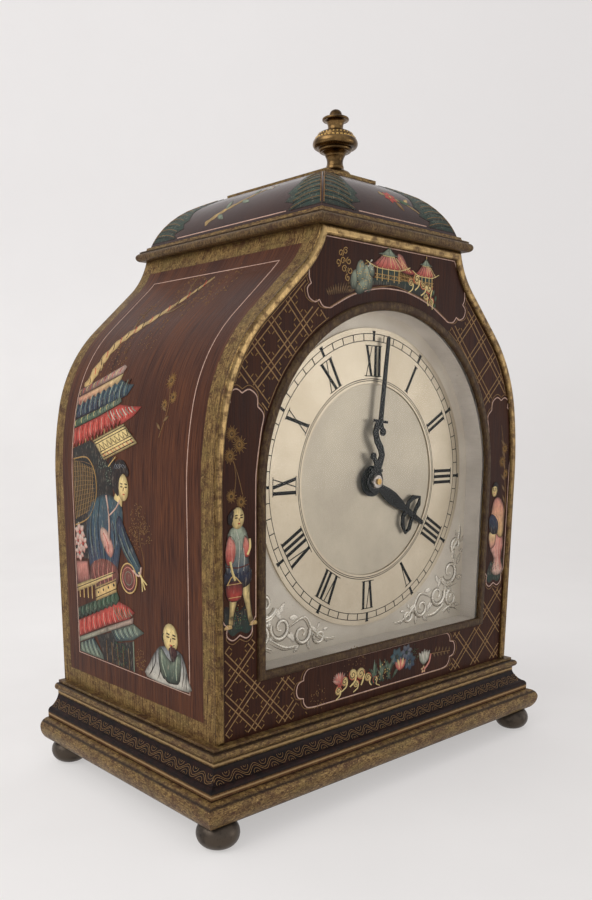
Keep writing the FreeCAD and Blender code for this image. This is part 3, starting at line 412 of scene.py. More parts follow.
FINISHES = {
    case_finish(): "front_panel side_panel_left side_panel_right",
    board_finish("back_lacquer"): "back_frame rear_door",
    dome_finish(): "dome_cap",
    frieze_finish(): "plinth_frieze",
    gilt_finish("bullnose_gilt", (1.8, 1.8, 0.5), 0.7, lines=(9.5, 17.2), width=0.6): "plinth_bullnose",
    gilt_finish("rim_gilt", (2.0, 2.0, 0.4), 0.6, lines=(29.4, 32.2), width=0.45, shade=0.85): "floor_board",
    gilt_finish("slab_gilt", (0.6, 0.6, 3.0), 0.7, shade=0.62): "cornice_slab",
    gilt_finish("cap_gilt", (2.0, 2.0, 0.4), 0.2, 0.6, (210.2,), 0.6, polish=0.1):
        "cap_moulding top_platform",
    gilt_finish("edge_gilt", (0.5, 0.5, 5.0), 0.4, 0.85, shade=0.8, polish=0.14, crest=0.5):
        "front_edge_bead",
    gilt_finish("opening_bead_gilt", (0.9, 0.9, 3.0), 0.8, 0.3, shade=0.3): "opening_bead",
    plain_wood(): "base_board top_board",
    glass_finish(): "dial_glass",
    silver_finish("silvered_slip", (238, 230, 220), (214, 206, 196), 0.4, 0.1, (0.5, 5.0, 0.5), 0.3):
        "dial_slip",
    silver_finish("silvered_plate", (244, 234, 216), (226, 214, 196), 0.46, 0.1, 0.5, 0.25): "dial_plate",
    silver_finish("silvered_ring", (218, 204, 180), (202, 187, 162), 0.36, 0.75, 0.5): "chapter_ring",
    silver_finish("silvered_centre", (204, 193, 172), (190, 179, 160), 0.42, 0.7, 0.4): "dial_centre",
    metal_finish("dark_bronze", (78, 68, 58), (36, 30, 26), 0.38, (2.0, 2.0, 0.5), 0.5, 0.7): "bun_feet",
    metal_finish("finial_brass", (132, 104, 66), (38, 26, 18), 0.28, (3.0, 3.0, 0.3), 1.2):
        "finial_stem finial_disc finial_cap",
    metal_finish("blued_steel", (15, 14, 15), (9, 8, 8), 0.36, (0.5, 0.5, 3.0), 0.3, 0.6):
        "minute_hand hour_hand balance_spring regulator_index mainspring",
    metal_finish("hand_nut_steel", (172, 164, 156), (82, 68, 60), 0.3, 0.5, 0.8): "hand_nut",
    metal_finish("bright_steel", (190, 190, 188), (120, 116, 110), 0.25):
        "foot_screws hinge_pins finial_rod finial_nut dial_screws movement_screws barrel_arbor ratchet_wheel "
        "click click_spring cannon_pinion pallet_lever",
    BRASS:
        "hinge_frame_leaves hinge_door_leaves door_pull movement_front_plate movement_back_plate "
        "movement_pillars mainspring_barrel centre_wheel hand_set_knob third_wheel contrate_wheel "
        "minute_wheel hour_wheel platform_plate escape_wheel balance_wheel balance_cock",
}
for finish, names in FINISHES.items():
    for name in names.split():
        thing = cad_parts[name]
        if not thing.material_slots:
            thing.data.materials.append(finish)
        for slot in thing.material_slots:
            slot.material = finish
left_over = set(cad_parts) - set(" ".join(FINISHES.values()).split())
assert not left_over, left_over


# ---------------------------------------------------------------- lines and places on the case
def bow(start, middle, end, count):
    """Points after the start on the arc through three points."""
    (ax, ay), (bx, by), (cx, cy) = start, middle, end
    d = 2 * (ax * (by - cy) + bx * (cy - ay) + cx * (ay - by))
    a2, b2, c2 = ax * ax + ay * ay, bx * bx + by * by, cx * cx + cy * cy
    ox = (a2 * (by - cy) + b2 * (cy - ay) + c2 * (ay - by)) / d
    oy = (a2 * (cx - bx) + b2 * (ax - cx) + c2 * (bx - ax)) / d
    radius = math.hypot(ax - ox, ay - oy)
    first = math.atan2(ay - oy, ax - ox)
    turn = (math.atan2(cy - oy, cx - ox) - first) % math.tau
    through = (math.atan2(by - oy, bx - ox) - first) % math.tau
    if through > turn:
        turn -= math.tau
    return [(ox + radius * math.cos(a), oy + radius * math.sin(a))
            for a in (first + turn * k / count for k in range(1, count + 1))]


def side_section():
    """Right-hand side line of the case from plinth to cornice, as (x, z)."""
    x, z, tilt = SIDE_X, BEND_START, 0.0
    line = [(x, CASE_LOW), (x, z)]

    def arc(radius, goal, count):
        """Goes on round a bend; a radius below 0 bends outwards."""
        cx, cz = x - radius * math.cos(tilt), z - radius * math.sin(tilt)
        for k in range(1, count + 1):
            a = tilt + (goal(cz) - tilt) * k / count
            line.append((cx + radius * math.cos(a), cz + radius * math.sin(a)))

    for radius, reached in SIDE_BENDS:
        arc(radius, lambda _: math.radians(reached), 16)
        x, z = line[-1]
        tilt = math.radians(reached)
    x, z = x - SIDE_STRAIGHT * math.sin(tilt), z + SIDE_STRAIGHT * math.cos(tilt)
    line.append((x, z))
    arc(-SIDE_HOLLOW, lambda cz: math.asin((cz - CASE_TOP) / SIDE_HOLLOW), 12)
    return line


class Section:
    """A moulding's line, looked up by height or by length along it, with its outward slope."""

    def __init__(self, line):
        points = np.array(line)
        steps = np.hypot(*np.diff(points, axis=0).T)
        self.reach, self.height = points.T
        self.length = np.concatenate(([0.0], np.cumsum(steps)))
        slope = np.gradient(points, self.length, axis=0)
        slope /= np.hypot(*slope.T)[:, None]
        self.out, self.up = slope[:, 1], -slope[:, 0]

    def spot(self, value, lift, by_height=False):
        """Reach and height over a value of length or height, lifted off the face."""
        key = self.height if by_height else self.length
        reach, height, out, up = (np.interp(value, key, row)
                                  for row in (self.reach, self.height, self.out, self.up))
        return reach + out * lift, height + up * lift


def bowed(start, *bows):
    """A moulding's line of arcs, each given by its middle, its end and a count of points."""
    line = [start]
    for middle, end, count in bows:
        line += bow(line[-1], middle, end, count)
    return Section(line)


SIDE_LINE = Section(side_section())
DOME_LINE = bowed((-0.9, DOME_FOOT), ((-4.8, 219.9), (-12.0, 226.5), 10), ((-18.0, 229.4), (-23.6, 231.6), 8))
FRIEZE_LINE = bowed((8.4, 20.7), ((8.0, 21.8), (6.9, 22.5), 5), ((4.7, 24.5), (3.5, 27.0), 7))
DOME_RISE = float(DOME_LINE.length[-1])


def on_level(y):
    """Place on an upright plane that looks to the front."""
    return lambda u, v, lift: (u, y - lift, v)


def on_side(sign):
    def place(u, v, lift):
        x, z = SIDE_LINE.spot(v, lift, True)
        return sign * x, u, z
    return place


def on_dome(turn):
    """Place on one slope of the dome: across it and up it. 0 front, 1 right, 2 back, 3 left."""
    sign = -1 if turn in (0, 3) else 1

    def place(u, v, lift):
        reach, z = DOME_LINE.spot(v, lift)
        if turn % 2:
            return sign * (DOME_HALF_X + reach), DOME_MIDDLE + sign * u, z
        return -sign * u, DOME_MIDDLE + sign * (DOME_HALF_Y + reach), z
    return place


def spots(place, points, lift):
    """The places over drawn points, one row each."""
    u, v = np.array(points, float).T
    return np.stack(np.broadcast_arrays(*place(u, v, lift)), -1)


def smooth(points, closed=False, count=6):
    """A rounded line through the given points."""
    p = [np.array(q, float) for q in points]
    n = len(p)
    if n < 3:
        return [tuple(q) for q in p]
    line = []
    for i in range(n if closed else n - 1):
        a, b = p[i - 1] if closed or i else p[0], p[i]
        c, d = p[(i + 1) % n], p[(i + 2) % n] if closed or i + 2 < n else p[-1]
        for k in range(count):
            t = k / count
            line.append(tuple(0.5 * (2 * b + (c - a) * t + (2 * a - 5 * b + 4 * c - d) * t * t
                                     + (3 * b - a - 3 * c + d) * t ** 3)))
    if not closed:
        line.append(tuple(p[-1]))
    return line


def joined(*bits):
    """One closed outline from rounded bits that meet in sharp corners."""
    return [point for bit in bits for point in smooth(bit)[:-1]]


def mirrored(*bits):
    """The same bits on the other side, in the order in which an outline comes back."""
    return [[(-x, z) for x, z in bit[::-1]] for bit in bits[::-1]]


def swirl(x, z, start, end, first, turns, count=26):
    """A spiral line: its middle, radii, first angle in degrees and turns."""
    line = []
    for k in range(count + 1):
        t = k / count
        radius = start + (end - start) * t
        a = math.radians(first) + math.tau * turns * t
        line.append((x + radius * math.cos(a), z + radius * math.sin(a)))
    return line


def oval(x, z, half_width, half_height, tilt=0.0, count=14):
    c, s = math.cos(math.radians(tilt)), math.sin(math.radians(tilt))
    line = []
    for k in range(count):
        a = math.tau * k / count
        p, q = half_width * math.cos(a), half_height * math.sin(a)
        line.append((x + p * c - q * s, z + p * s + q * c))
    return line


def inside(points, outline):
    """Which of some points lie inside an outline."""
    x, y = points[:, :1], points[:, 1:]
    ax, ay = np.array(outline, float).T
    bx, by = np.roll(ax, -1), np.roll(ay, -1)
    rise = np.where(by == ay, 1.0, by - ay)
    crosses = ((ay > y) != (by > y)) & (x < (bx - ax) * (y - ay) / rise + ax)
    return crosses.sum(1) % 2 == 1


def edge_distance(points, outline):
    """How far points are from an outline."""
    start = np.array(outline, float)
    step = np.roll(start, -1, axis=0) - start
    away = points[:, None, :] - start
    share = np.clip((away * step).sum(-1) / np.maximum((step * step).sum(-1), 1e-9), 0, 1)
    return np.linalg.norm(away - share[..., None] * step, axis=-1).min(1)


# ---------------------------------------------------------------- geometry trees
class Tree(Sheet):
    """A geometry tree with named inputs, used on a mesh and then turned into a plain mesh."""

    def __init__(self, name, **inputs):
        super().__init__(bpy.data.node_groups.new(name, "GeometryNodeTree"))
        face = self.tree.interface
        face.new_socket("Geometry", in_out="INPUT", socket_type="NodeSocketGeometry")
        self.sockets = {label: face.new_socket(label, in_out="INPUT", socket_type="NodeSocket" + kind)
                        for label, kind in dict(inputs, Finish="Material").items()}
        face.new_socket("Geometry", in_out="OUTPUT", socket_type="NodeSocketGeometry")
        self.start = self.tree.nodes.new("NodeGroupInput")

    def given(self, label):
        return Flow(self, self.start.outputs[label])

    def close(self, shape):
        """Ends the tree: instances made real and the finish set."""
        real = self.node("GeometryNodeRealizeInstances", None, {0: shape})
        done = self.node("GeometryNodeSetMaterial", None,
                         {"Geometry": real, "Material": self.given("Finish")})
        end = self.tree.nodes.new("NodeGroupOutput")
        self.tree.links.new(done.socket, end.inputs[0])
        return self

    def strewn(self, places, shape, **turned):
        """Ends the tree with a shape set on places."""
        return self.close(self.node("GeometryNodeInstanceOnPoints", None,
                                    dict(turned, Points=places, Instance=shape)))

    def circle(self, out, about):
        """Count places at Radius along one axis, turned about another from the angle First on.

        Gives the places, their turns and their numbers.
        """
        index = self.node("GeometryNodeInputIndex")
        facing = self.combine(**{about: index / self.given("Count") * math.tau + self.given("First")})
        spot = self.node("ShaderNodeVectorRotate", {"rotation_type": "EULER_XYZ"},
                         {"Vector": self.combine(**{out: self.given("Radius")}), "Rotation": facing})
        row = self.node("GeometryNodeMeshLine", {"mode": "OFFSET"},
                        {"Count": self.given("Count"), "Offset": (0, 0, 0)})
        places = self.node("GeometryNodeSetPosition", None, {"Geometry": row, "Position": spot})
        return places, facing, index

    def grown(self, mesh, finish, **values):
        """The plain mesh that the tree makes of a mesh."""
        thing = bpy.data.objects.new("growing", mesh)
        bpy.context.collection.objects.link(thing)
        step = thing.modifiers.new("growing", "NODES")
        step.node_group = self.tree
        for label, value in dict(values, Finish=finish).items():
            step[self.sockets[label].identifier] = value
        made = bpy.data.meshes.new_from_object(thing.evaluated_get(bpy.context.evaluated_depsgraph_get()))
        bpy.data.objects.remove(thing)
        return made


def line_tree():
    """Drawn lines: every run of edges becomes a round stroke as thick as its points say."""
    tree = Tree("drawn_lines", Sides="Int")
    curve = tree.node("GeometryNodeMeshToCurve", None, {"Mesh": tree.given("Geometry")})
    thick = tree.node("GeometryNodeInputNamedAttribute", {"data_type": "FLOAT"}, {"Name": "thick"})
    ring = tree.node("GeometryNodeCurvePrimitiveCircle", {"mode": "RADIUS"},
                     {"Resolution": tree.given("Sides"), "Radius": 1.0})
    return tree.close(tree.node("GeometryNodeCurveToMesh", None,
                                {"Curve": curve, "Profile Curve": ring, "Fill Caps": True, "Scale": thick}))


def row_tree():
    """A row: the given mesh is repeated at even steps along X."""
    tree = Tree("motif_row", Count="Int", Step="Float")
    row = tree.node("GeometryNodeMeshLine", {"mode": "OFFSET"},
                    {"Count": tree.given("Count"), "Offset": tree.combine(X=tree.given("Step"))})
    return tree.strewn(row, tree.given("Geometry"))


def ring_tree():
    """A ring: the given mesh is repeated round the upright axis."""
    tree = Tree("motif_ring", Count="Int", Radius="Float", First="Float")
    places, facing, _ = tree.circle("X", "Z")
    return tree.strewn(places, tree.given("Geometry"), Rotation=facing)


def minute_tree():
    """Railway track: a bar for each minute and a heavier one every five."""
    tree = Tree("minute_track", Count="Int", Radius="Float", First="Float", Length="Float", Width="Float")
    places, facing, index = tree.circle("Z", "Y")
    size = tree.combine(X=tree.given("Width"), Y=0.16 * MM, Z=tree.given("Length"))
    bar = tree.node("GeometryNodeMeshCube", None, {"Size": size})
    fifth = tree.maths("MODULO", index, 5.0) < 0.5
    return tree.strewn(places, bar, Rotation=facing, Scale=tree.combine(X=1 + fifth * 2.2, Y=1.0, Z=1.0))


LINES, ROW, ROUND, MINUTES = line_tree(), row_tree(), ring_tree(), minute_tree()


def piece(name, mesh, body, turn=None, finish=None):
    """Puts a finished mesh in the scene as a named piece of one body."""
    if turn is not None:
        mesh.transform(turn)
    if finish:
        mesh.materials[0] = finish
    shell = bmesh.new()
    shell.from_mesh(mesh)
    bmesh.ops.recalc_face_normals(shell, faces=shell.faces)
    shell.to_mesh(mesh)
    shell.free()
    thing = bpy.data.objects.new(name, mesh)
    bpy.context.collection.objects.link(thing)
    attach(thing, body)


def plain_mesh(name, points, faces=(), edges=()):
    mesh = bpy.data.meshes.new(name)
    mesh.from_pydata([tuple(c * MM for c in p) for p in points], edges, faces)
    return mesh


LAYER = 0.1                  # thickness of one layer of paint
SINK = 0.12                  # how far a painted shape reaches into its ground
COARSE, FINE = 1.8, 0.5      # widest and finest step of the points inside a shape


class Drawing:
    """Raised work on one face: filled shapes and drawn lines, each point with its pigment."""

    def __init__(self, place):
        self.place = place
        self.spots, self.faces, self.paints = [], [], []
        self.nodes, self.runs, self.marks = [], [], []

    def fill(self, outline, pigment, layer=1, ink=0.75, gold=0.0, sink=SINK):
        """A closed shape, crowned towards its middle and inked at its rim. Two pigments shade upwards."""
        outline = [tuple(map(float, p)) for p in outline]
        flat = np.array(outline)
        low, high = flat.min(0), flat.max(0)
        step = max(FINE, min(COARSE, float(min(high - low)) / 4))
        grid = np.stack(np.meshgrid(np.arange(low[0] + step / 2, high[0], step),
                                    np.arange(low[1] + step / 2, high[1], step)), -1).reshape(-1, 2)
        grid = grid[inside(grid, outline)] if len(grid) else grid
        if len(grid):
            grid = grid[edge_distance(grid, outline) > step * 0.35]
        every = [Vector(p) for p in outline] + [Vector(p) for p in grid]
        points, _, faces, *_ = delaunay_2d_cdt(every, [], [list(range(len(outline)))], 1, 1e-5)
        drawn = np.array([tuple(p) for p in points])
        crown = np.minimum(1.0, edge_distance(drawn, outline) / step)
        base = len(self.spots)
        count = len(drawn)
        foot, head = np.array(pigment if isinstance(pigment[0], tuple) else (pigment, pigment))
        share = (drawn[:, 1:] - low[1]) / max(high[1] - low[1], 1e-6)
        shaded = foot + (head - foot) * share
        rim = ink * (1 - crown) ** 2
        for height in (LAYER * layer * (0.7 + 0.3 * crown), -sink):
            self.spots += list(spots(self.place, drawn, height))
            self.paints += list(zip(shaded, [gold] * count, rim))
        edges = set()
        for face in faces:
            self.faces.append([base + i for i in face])
            self.faces.append([base + count + i for i in reversed(face)])
            edges.update(zip(face, face[1:] + face[:1]))
        for a, b in sorted(edges):
            if (b, a) not in edges:
                self.faces.append([base + b, base + a, base + count + a, base + count + b])

    def blob(self, points, pigment, layer=1, ink=0.75, gold=0.0, count=3):
        """A closed shape with a rounded outline."""
        self.fill(smooth(points, True, count), pigment, layer, ink, gold)

    def line(self, points, width, pigment, gold=0.0, closed=False, taper=0.0, layer=0):
        """A stroke along points. Taper thins it towards its end, or both ends when below 0."""
        n = len(points)
        first = len(self.nodes)
        t = np.linspace(0, 1, n)
        share = 1 - taper * t if taper >= 0 else 1 + taper * np.abs(2 * t - 1)
        thick = width / 2 * np.maximum(0.12, share)
        self.nodes += list(spots(self.place, points, LAYER * layer - 0.35 * thick))
        self.marks += [(size * MM, pigment, gold) for size in thick]
        self.runs += [(first + k, first + k + 1) for k in range(n - 1)]
        if closed:
            self.runs.append((first + n - 1, first))

    def curve(self, points, width, pigment, gold=0.0, **ways):
        """A stroke along a rounded line."""
        self.line(smooth(points), width, pigment, gold, **ways)

    def shapes(self):
        mesh = plain_mesh("shapes", self.spots, self.faces)
        tint(mesh, self.paints)
        mesh.materials.append(PAINT)
        return mesh

    def strokes(self, sides=5):
        mesh = plain_mesh("strokes", self.nodes, edges=self.runs)
        tint(mesh, [(pigment, gold, 0.0) for _, pigment, gold in self.marks])
        thick = mesh.attributes.new("thick", "FLOAT", "POINT")
        thick.data.foreach_set("value", [mark[0] for mark in self.marks])
        return LINES.grown(mesh, PAINT, Sides=sides)

    def place_painting(self, name):
        """Puts the shapes and the lines in the scene as two pieces."""
        piece(name + "_painting", self.shapes(), "case")
        piece(name + "_line_work", self.strokes(), "case")


def tint(mesh, paints):
    """Stores each point's pigment, how much of it is gold and how much ink lies over it."""
    pigments, gildings, rims = zip(*paints)
    colour = mesh.attributes.new("pigment", "FLOAT_COLOR", "POINT")
    colour.data.foreach_set("color", np.array(pigments, np.float32).ravel())
    for label, values in (("gilding", gildings), ("rim", rims)):
        share = mesh.attributes.new(label, "FLOAT", "POINT")
        share.data.foreach_set("value", np.array(values, np.float32))


# ---------------------------------------------------------------- motifs
def leaf(d, x, z, length, width, angle, pigment, gold=0.0, layer=1):
    """A pointed leaf from its stalk end."""
    a = math.radians(angle)
    line = []
    for t, w in ((0, 0.1), (0.25, 0.8), (0.5, 1), (0.78, 0.6), (1, 0), (0.78, -0.6), (0.5, -1), (0.25, -0.8)):
        p, q = t * length, w * width / 2
        line.append((x + p * math.cos(a) - q * math.sin(a), z + p * math.sin(a) + q * math.cos(a)))
    d.blob(line, pigment, layer, 0.6, gold)


def blossom(d, x, z, radius, petals, pigment, heart, layer=1):
    """A flower head of broad petals."""
    for k in range(petals):
        a = math.tau * k / petals + 0.3
        leaf(d, x + 0.15 * radius * math.cos(a), z + 0.15 * radius * math.sin(a), radius, radius * 0.75,
             math.degrees(a), pigment, 0, layer)
    d.fill(oval(x, z, radius * 0.28, radius * 0.28, 0, 8), heart, layer + 1, gold=0.3)


def chrysanthemum(d, x, z, radius):
    """A gilt flower head of radiating strokes."""
    petals = 23
    for k in range(petals):
        a = math.tau * k / petals
        inner, outer = radius * 0.26, radius * (0.84 + 0.16 * math.cos(3 * k))
        d.line([(x + inner * math.cos(a), z + inner * math.sin(a)),
                (x + outer * math.cos(a + 0.12), z + outer * math.sin(a + 0.12))], 0.34, OLD_GOLD, 0.6,
               taper=0.4)
    d.fill(oval(x, z, radius * 0.2, radius * 0.2, 0, 8), OLD_GOLD, gold=0.6)


def sprig(d, x, z, radius, count, pigment, rng, size=0.55, layer=0):
    """A loose cluster of gold dots and flecks."""
    for _ in range(count):
        a, r = rng.uniform(0, math.tau), radius * math.sqrt(rng.random())
        p, q = x + r * math.cos(a), z + r * math.sin(a) * 1.25
        b = rng.uniform(0, math.tau)
        step = size * rng.uniform(0.5, 1.1)
        d.line([(p, q), (p + step * math.cos(b), q + step * math.sin(b))], size * 0.62, pigment, 0.7,
               layer=layer)


def branch(d, points, width, pigment, taper=0.8, gold=0.3):
    """A brushed bough, thick at its foot."""
    line = smooth(points, False, 6)
    left, right = [], []
    for k, (x, z) in enumerate(line):
        ax, az = line[max(0, k - 1)]
        bx, bz = line[min(len(line) - 1, k + 1)]
        size = math.hypot(bx - ax, bz - az) or 1
        half = width / 2 * (1 - taper * k / (len(line) - 1)) * (1 + 0.28 * math.sin(k * 1.9))
        nx, nz = -(bz - az) / size * half, (bx - ax) / size * half
        left.append((x + nx, z + nz))
        right.append((x - nx, z - nz))
    d.fill(left + right[::-1], pigment, ink=0.5, gold=gold)
    return line


def scroll_rock(d, lumps):
    """Rockwork of cream scrolls, each curling round an inked hollow on a bent foot."""
    for k, (x, z, r, foot) in enumerate(lumps):
        d.curve([(x + 0.8 * r, z - 0.2 * r), (x + 0.5 * r, z - 1.3 * r), (foot, z - 2.1 * r)], 0.5 * r,
                CREAM, 0.2, taper=0.3)
        d.fill(oval(x, z, r, r * 1.1, 20 * k), (PALE_GOLD, CREAM), ink=0.6, gold=0.2)
        d.line(swirl(x, z, r * 0.72, r * 0.12, 90 * k, 1.2, 14), 0.36, INK, layer=1.4)
        d.line(swirl(x, z, r * 1.02, r * 0.9, 70 * k, 0.5, 8), 0.3, CORAL, layer=1)


def pavilion(d, x, z, width, height):
    """A small garden house: posts and rail, a swept roof with turned-up eaves and a cap roof above."""
    w, h = width / 2, height

    def at(points):
        return [(x + w * p, z + h * q) for p, q in points]

    d.fill(at([(-0.6, 0), (0.6, 0), (0.58, 0.44), (-0.58, 0.44)]), DEEP_GREEN)
    for k in (-0.55, -0.3, 0, 0.3, 0.55):
        d.line(at([(k, 0), (k, 0.42)]), 0.4, PALE_GOLD, 0.4, layer=1)
    for level in (0.08, 0.19):
        d.line(at([(-0.66, level), (0.66, level)]), 0.34, GOLD, 0.5, layer=1)
    for k in range(10):
        d.line(at([(-0.62 + 0.13 * k, 0.08), (-0.56 + 0.13 * k, 0.19)]), 0.26, GOLD, 0.5, layer=1)
    eave = [(1.1, 0.52), (0.6, 0.38), (0, 0.36), (-0.6, 0.38), (-1.1, 0.52)]
    d.fill(joined(at([(-1.1, 0.52), (-0.75, 0.48), (-0.34, 0.74)]), at([(-0.34, 0.74), (0.34, 0.74)]),
                  at([(0.34, 0.74), (0.75, 0.48), (1.1, 0.52)]), at(eave)), (CORAL, PINK), 2)
    for k in (-0.85, -0.6, -0.35, -0.1, 0.15, 0.4, 0.65, 0.9):
        d.line(at([(k * 0.4, 0.73), (k * 0.95, 0.42)]), 0.24, MAROON if k < 0 else CREAM, layer=2)
    d.curve(at(eave), 0.34, CREAM, 0.2, layer=2)
    d.fill(at([(-0.3, 0.72), (0.3, 0.72), (0.28, 0.79), (-0.28, 0.79)]), CREAM, 2.4, gold=0.2)
    d.fill(joined(at([(-0.5, 0.78), (-0.2, 0.86), (0, 1.02)]), at([(0, 1.02), (0.2, 0.86), (0.5, 0.78)]),
                  at([(0.5, 0.78), (0, 0.75), (-0.5, 0.78)])), (SAGE, PALE_GREEN), 3, 0.4)
    for k in (-0.5, 0, 0.5):
        d.line(at([(0.08 * k, 0.97), (0.7 * k, 0.79)]), 0.22, DEEP_GREEN, layer=3)
    d.line(at([(0, 0.98), (0, 1.08)]), 0.4, PALE_GOLD, 0.6, layer=3)


class Figure:
    """A painted figure, its outlines given in shares of its height from the foot."""

    def __init__(self, d, x, z, size):
        self.d, self.x, self.z, self.size = d, x, z, size

    def at(self, points):
        return [(self.x + p * self.size, self.z + q * self.size) for p, q in points]

    def part(self, outline, pigment, layer=1):
        """A rounded part of the figure, edged in ink."""
        shape = smooth(self.at(outline), True, 3)
        self.d.fill(shape, pigment, layer, 0.8)
        self.d.line(shape, 0.2, INK, closed=True, layer=layer * 0.7)

    def lines(self, lines, width, pigment, layer, gold=0.1):
        for line in lines:
            self.d.line(smooth(self.at(line), count=3), width, pigment, gold, layer=layer)

    def dots(self, places, radius, pigment, layer):
        for x, z in self.at(places):
            self.d.fill(oval(x, z, radius, radius, 0, 6), pigment, layer, 0, 0.3)

    def head(self, p, q, wide, high, look):
        """A plain turned head: an oval with brows, eyes, nose and mouth in short strokes."""
        (x, z), = self.at([(p, q)])
        w, h = wide * self.size, high * self.size
        self.d.fill(oval(x, z, w, h, -4, 18), (FLESH, CREAM), 3, 0.6)
        fine = 0.1 * w + 0.16
        for side in (-0.42, 0.38):
            left, right = x + (side - 0.18 + look) * w, x + (side + 0.18 + look) * w
            self.d.line([(left, z + 0.24 * h), (right, z + 0.28 * h)], fine, INK, layer=3.1)
            self.d.line([(left, z + 0.04 * h), (right, z + 0.04 * h)], fine, INK, layer=3.1)
        self.d.line([(x + look * w, z), (x + (look + 0.1) * w, z - 0.26 * h)], fine * 0.8, MAROON,
                    layer=3.1)
        self.d.line([(x + (look - 0.16) * w, z - 0.5 * h), (x + (look + 0.16) * w, z - 0.5 * h)], fine,
                    CORAL, layer=3.1)


def porter(d, x, z, size):
    """A walking porter in a short grey jacket with pink sleeves and a red basket."""
    f = Figure(d, x, z, size)
    f.part(((-0.09, 0.42), (0.02, 0.42), (0, 0.26), (-0.045, 0.1), (-0.05, 0.03), (-0.10, 0.02),
            (-0.09, 0.14), (-0.09, 0.28)), (FLESH, CREAM))
    f.part(((0.03, 0.42), (0.12, 0.40), (0.13, 0.24), (0.15, 0.1), (0.17, 0.03), (0.12, 0.02), (0.09, 0.14),
            (0.05, 0.28)), (FLESH, CREAM))
    for p in (-0.1, 0.17):
        f.part(((p - 0.05, 0), (p + 0.04, 0), (p + 0.03, 0.035), (p - 0.02, 0.04)), PALE_GOLD)
    f.part(((-0.12, 0.5), (0.12, 0.5), (0.14, 0.38), (0.06, 0.33), (-0.04, 0.36), (-0.13, 0.34)),
           (INK, BLUE), 1.6)
    f.part(((-0.08, 0.82), (0.05, 0.84), (0.11, 0.74), (0.11, 0.6), (0.12, 0.46), (-0.02, 0.44),
            (-0.12, 0.47), (-0.12, 0.66)), (BLUE, PALE_GREEN), 2)
    f.lines((((-0.02, 0.82), (0.02, 0.68), (0, 0.46)), ((-0.07, 0.7), (-0.06, 0.56), (-0.08, 0.47)),
             ((0.06, 0.66), (0.07, 0.56), (0.06, 0.47))), 0.26, WHITE, 2)
    f.lines((((-0.12, 0.52), (0, 0.5), (0.12, 0.52)),), 0.5, MAROON, 2)
    f.part(((-0.09, 0.77), (-0.02, 0.70), (-0.03, 0.56), (-0.11, 0.53), (-0.13, 0.64)), (CORAL, PINK), 2.6)
    f.part(((0.07, 0.76), (0.12, 0.7), (0.13, 0.6), (0.08, 0.58), (0.05, 0.66)), (CORAL, PINK), 2.6)
    f.lines((((-0.08, 0.56), (-0.06, 0.48), (-0.03, 0.4)), ((0.1, 0.6), (0.13, 0.66), (0.125, 0.73))), 1,
            CREAM, 2.6)
    f.lines((((-0.11, 0.37), (-0.05, 0.44), (0.03, 0.37)),), 0.4, PALE_GOLD, 2.6, 0.4)
    f.part(((-0.12, 0.38), (0.04, 0.38), (0.03, 0.24), (-0.10, 0.24)), (CORAL, MAROON), 2.6)
    f.lines((((-0.12, 0.37), (0.04, 0.37)), ((-0.1, 0.26), (0.03, 0.26))), 0.24, PALE_GOLD, 2.8, 0.4)
    f.part(((-0.07, 0.96), (-0.02, 0.985), (-0.01, 0.93), (-0.04, 0.86), (-0.09, 0.86), (-0.1, 0.92)), INK,
           2.6)
    f.head(0, 0.905, 0.068, 0.088, 0.18)


def lady(d, x, z, size):
    """A lady in a flowered coat and long peach skirts, with a blue sash."""
    f = Figure(d, x, z, size)
    f.part(((-0.10, 0.48), (0.08, 0.5), (0.14, 0.36), (0.11, 0.2), (0.16, 0.05), (0.05, 0), (-0.06, 0.05),
            (-0.03, 0.2), (-0.12, 0.34)), (ROSE, PINK))
    f.lines((((0.08, 0.44), (0.06, 0.26), (0.1, 0.06)), ((0, 0.34), (0.02, 0.2), (0.02, 0.06)),
             ((0.11, 0.34), (0.09, 0.2), (0.12, 0.08))), 0.26, CORAL, 1)
    f.part(((-0.14, 0.5), (-0.02, 0.52), (-0.02, 0.36), (-0.1, 0.32), (-0.14, 0.4)), (PINK, CREAM), 1.6)
    f.part(((-0.08, 0.86), (0.02, 0.88), (0.11, 0.78), (0.13, 0.62), (0.12, 0.46), (0.04, 0.44),
            (-0.1, 0.6), (-0.12, 0.72)), (PALE_GOLD, PINK), 2)
    f.dots(((-0.05, 0.78), (0.03, 0.8), (0, 0.7), (0.07, 0.72), (0.09, 0.62), (0.03, 0.6), (0.08, 0.52)),
           0.5, MAROON, 2.2)
    f.dots(((-0.01, 0.75), (0.05, 0.66), (0.1, 0.57), (0.06, 0.78)), 0.42, CREAM, 2.2)
    f.part(((-0.15, 0.68), (-0.04, 0.7), (0.04, 0.6), (0.03, 0.5), (-0.08, 0.48), (-0.15, 0.56)),
           (INK, BLUE), 2.4)
    f.lines((((-0.12, 0.66), (-0.05, 0.6), (0.02, 0.52)), ((-0.13, 0.6), (-0.06, 0.54))), 0.26, TEAL, 2.4)
    f.part(((-0.12, 0.99), (-0.09, 1.05), (-0.03, 1.04), (-0.02, 0.97), (-0.05, 0.92), (-0.05, 0.99)), INK,
           3.2)
    f.head(-0.08, 0.965, 0.05, 0.07, -0.15)


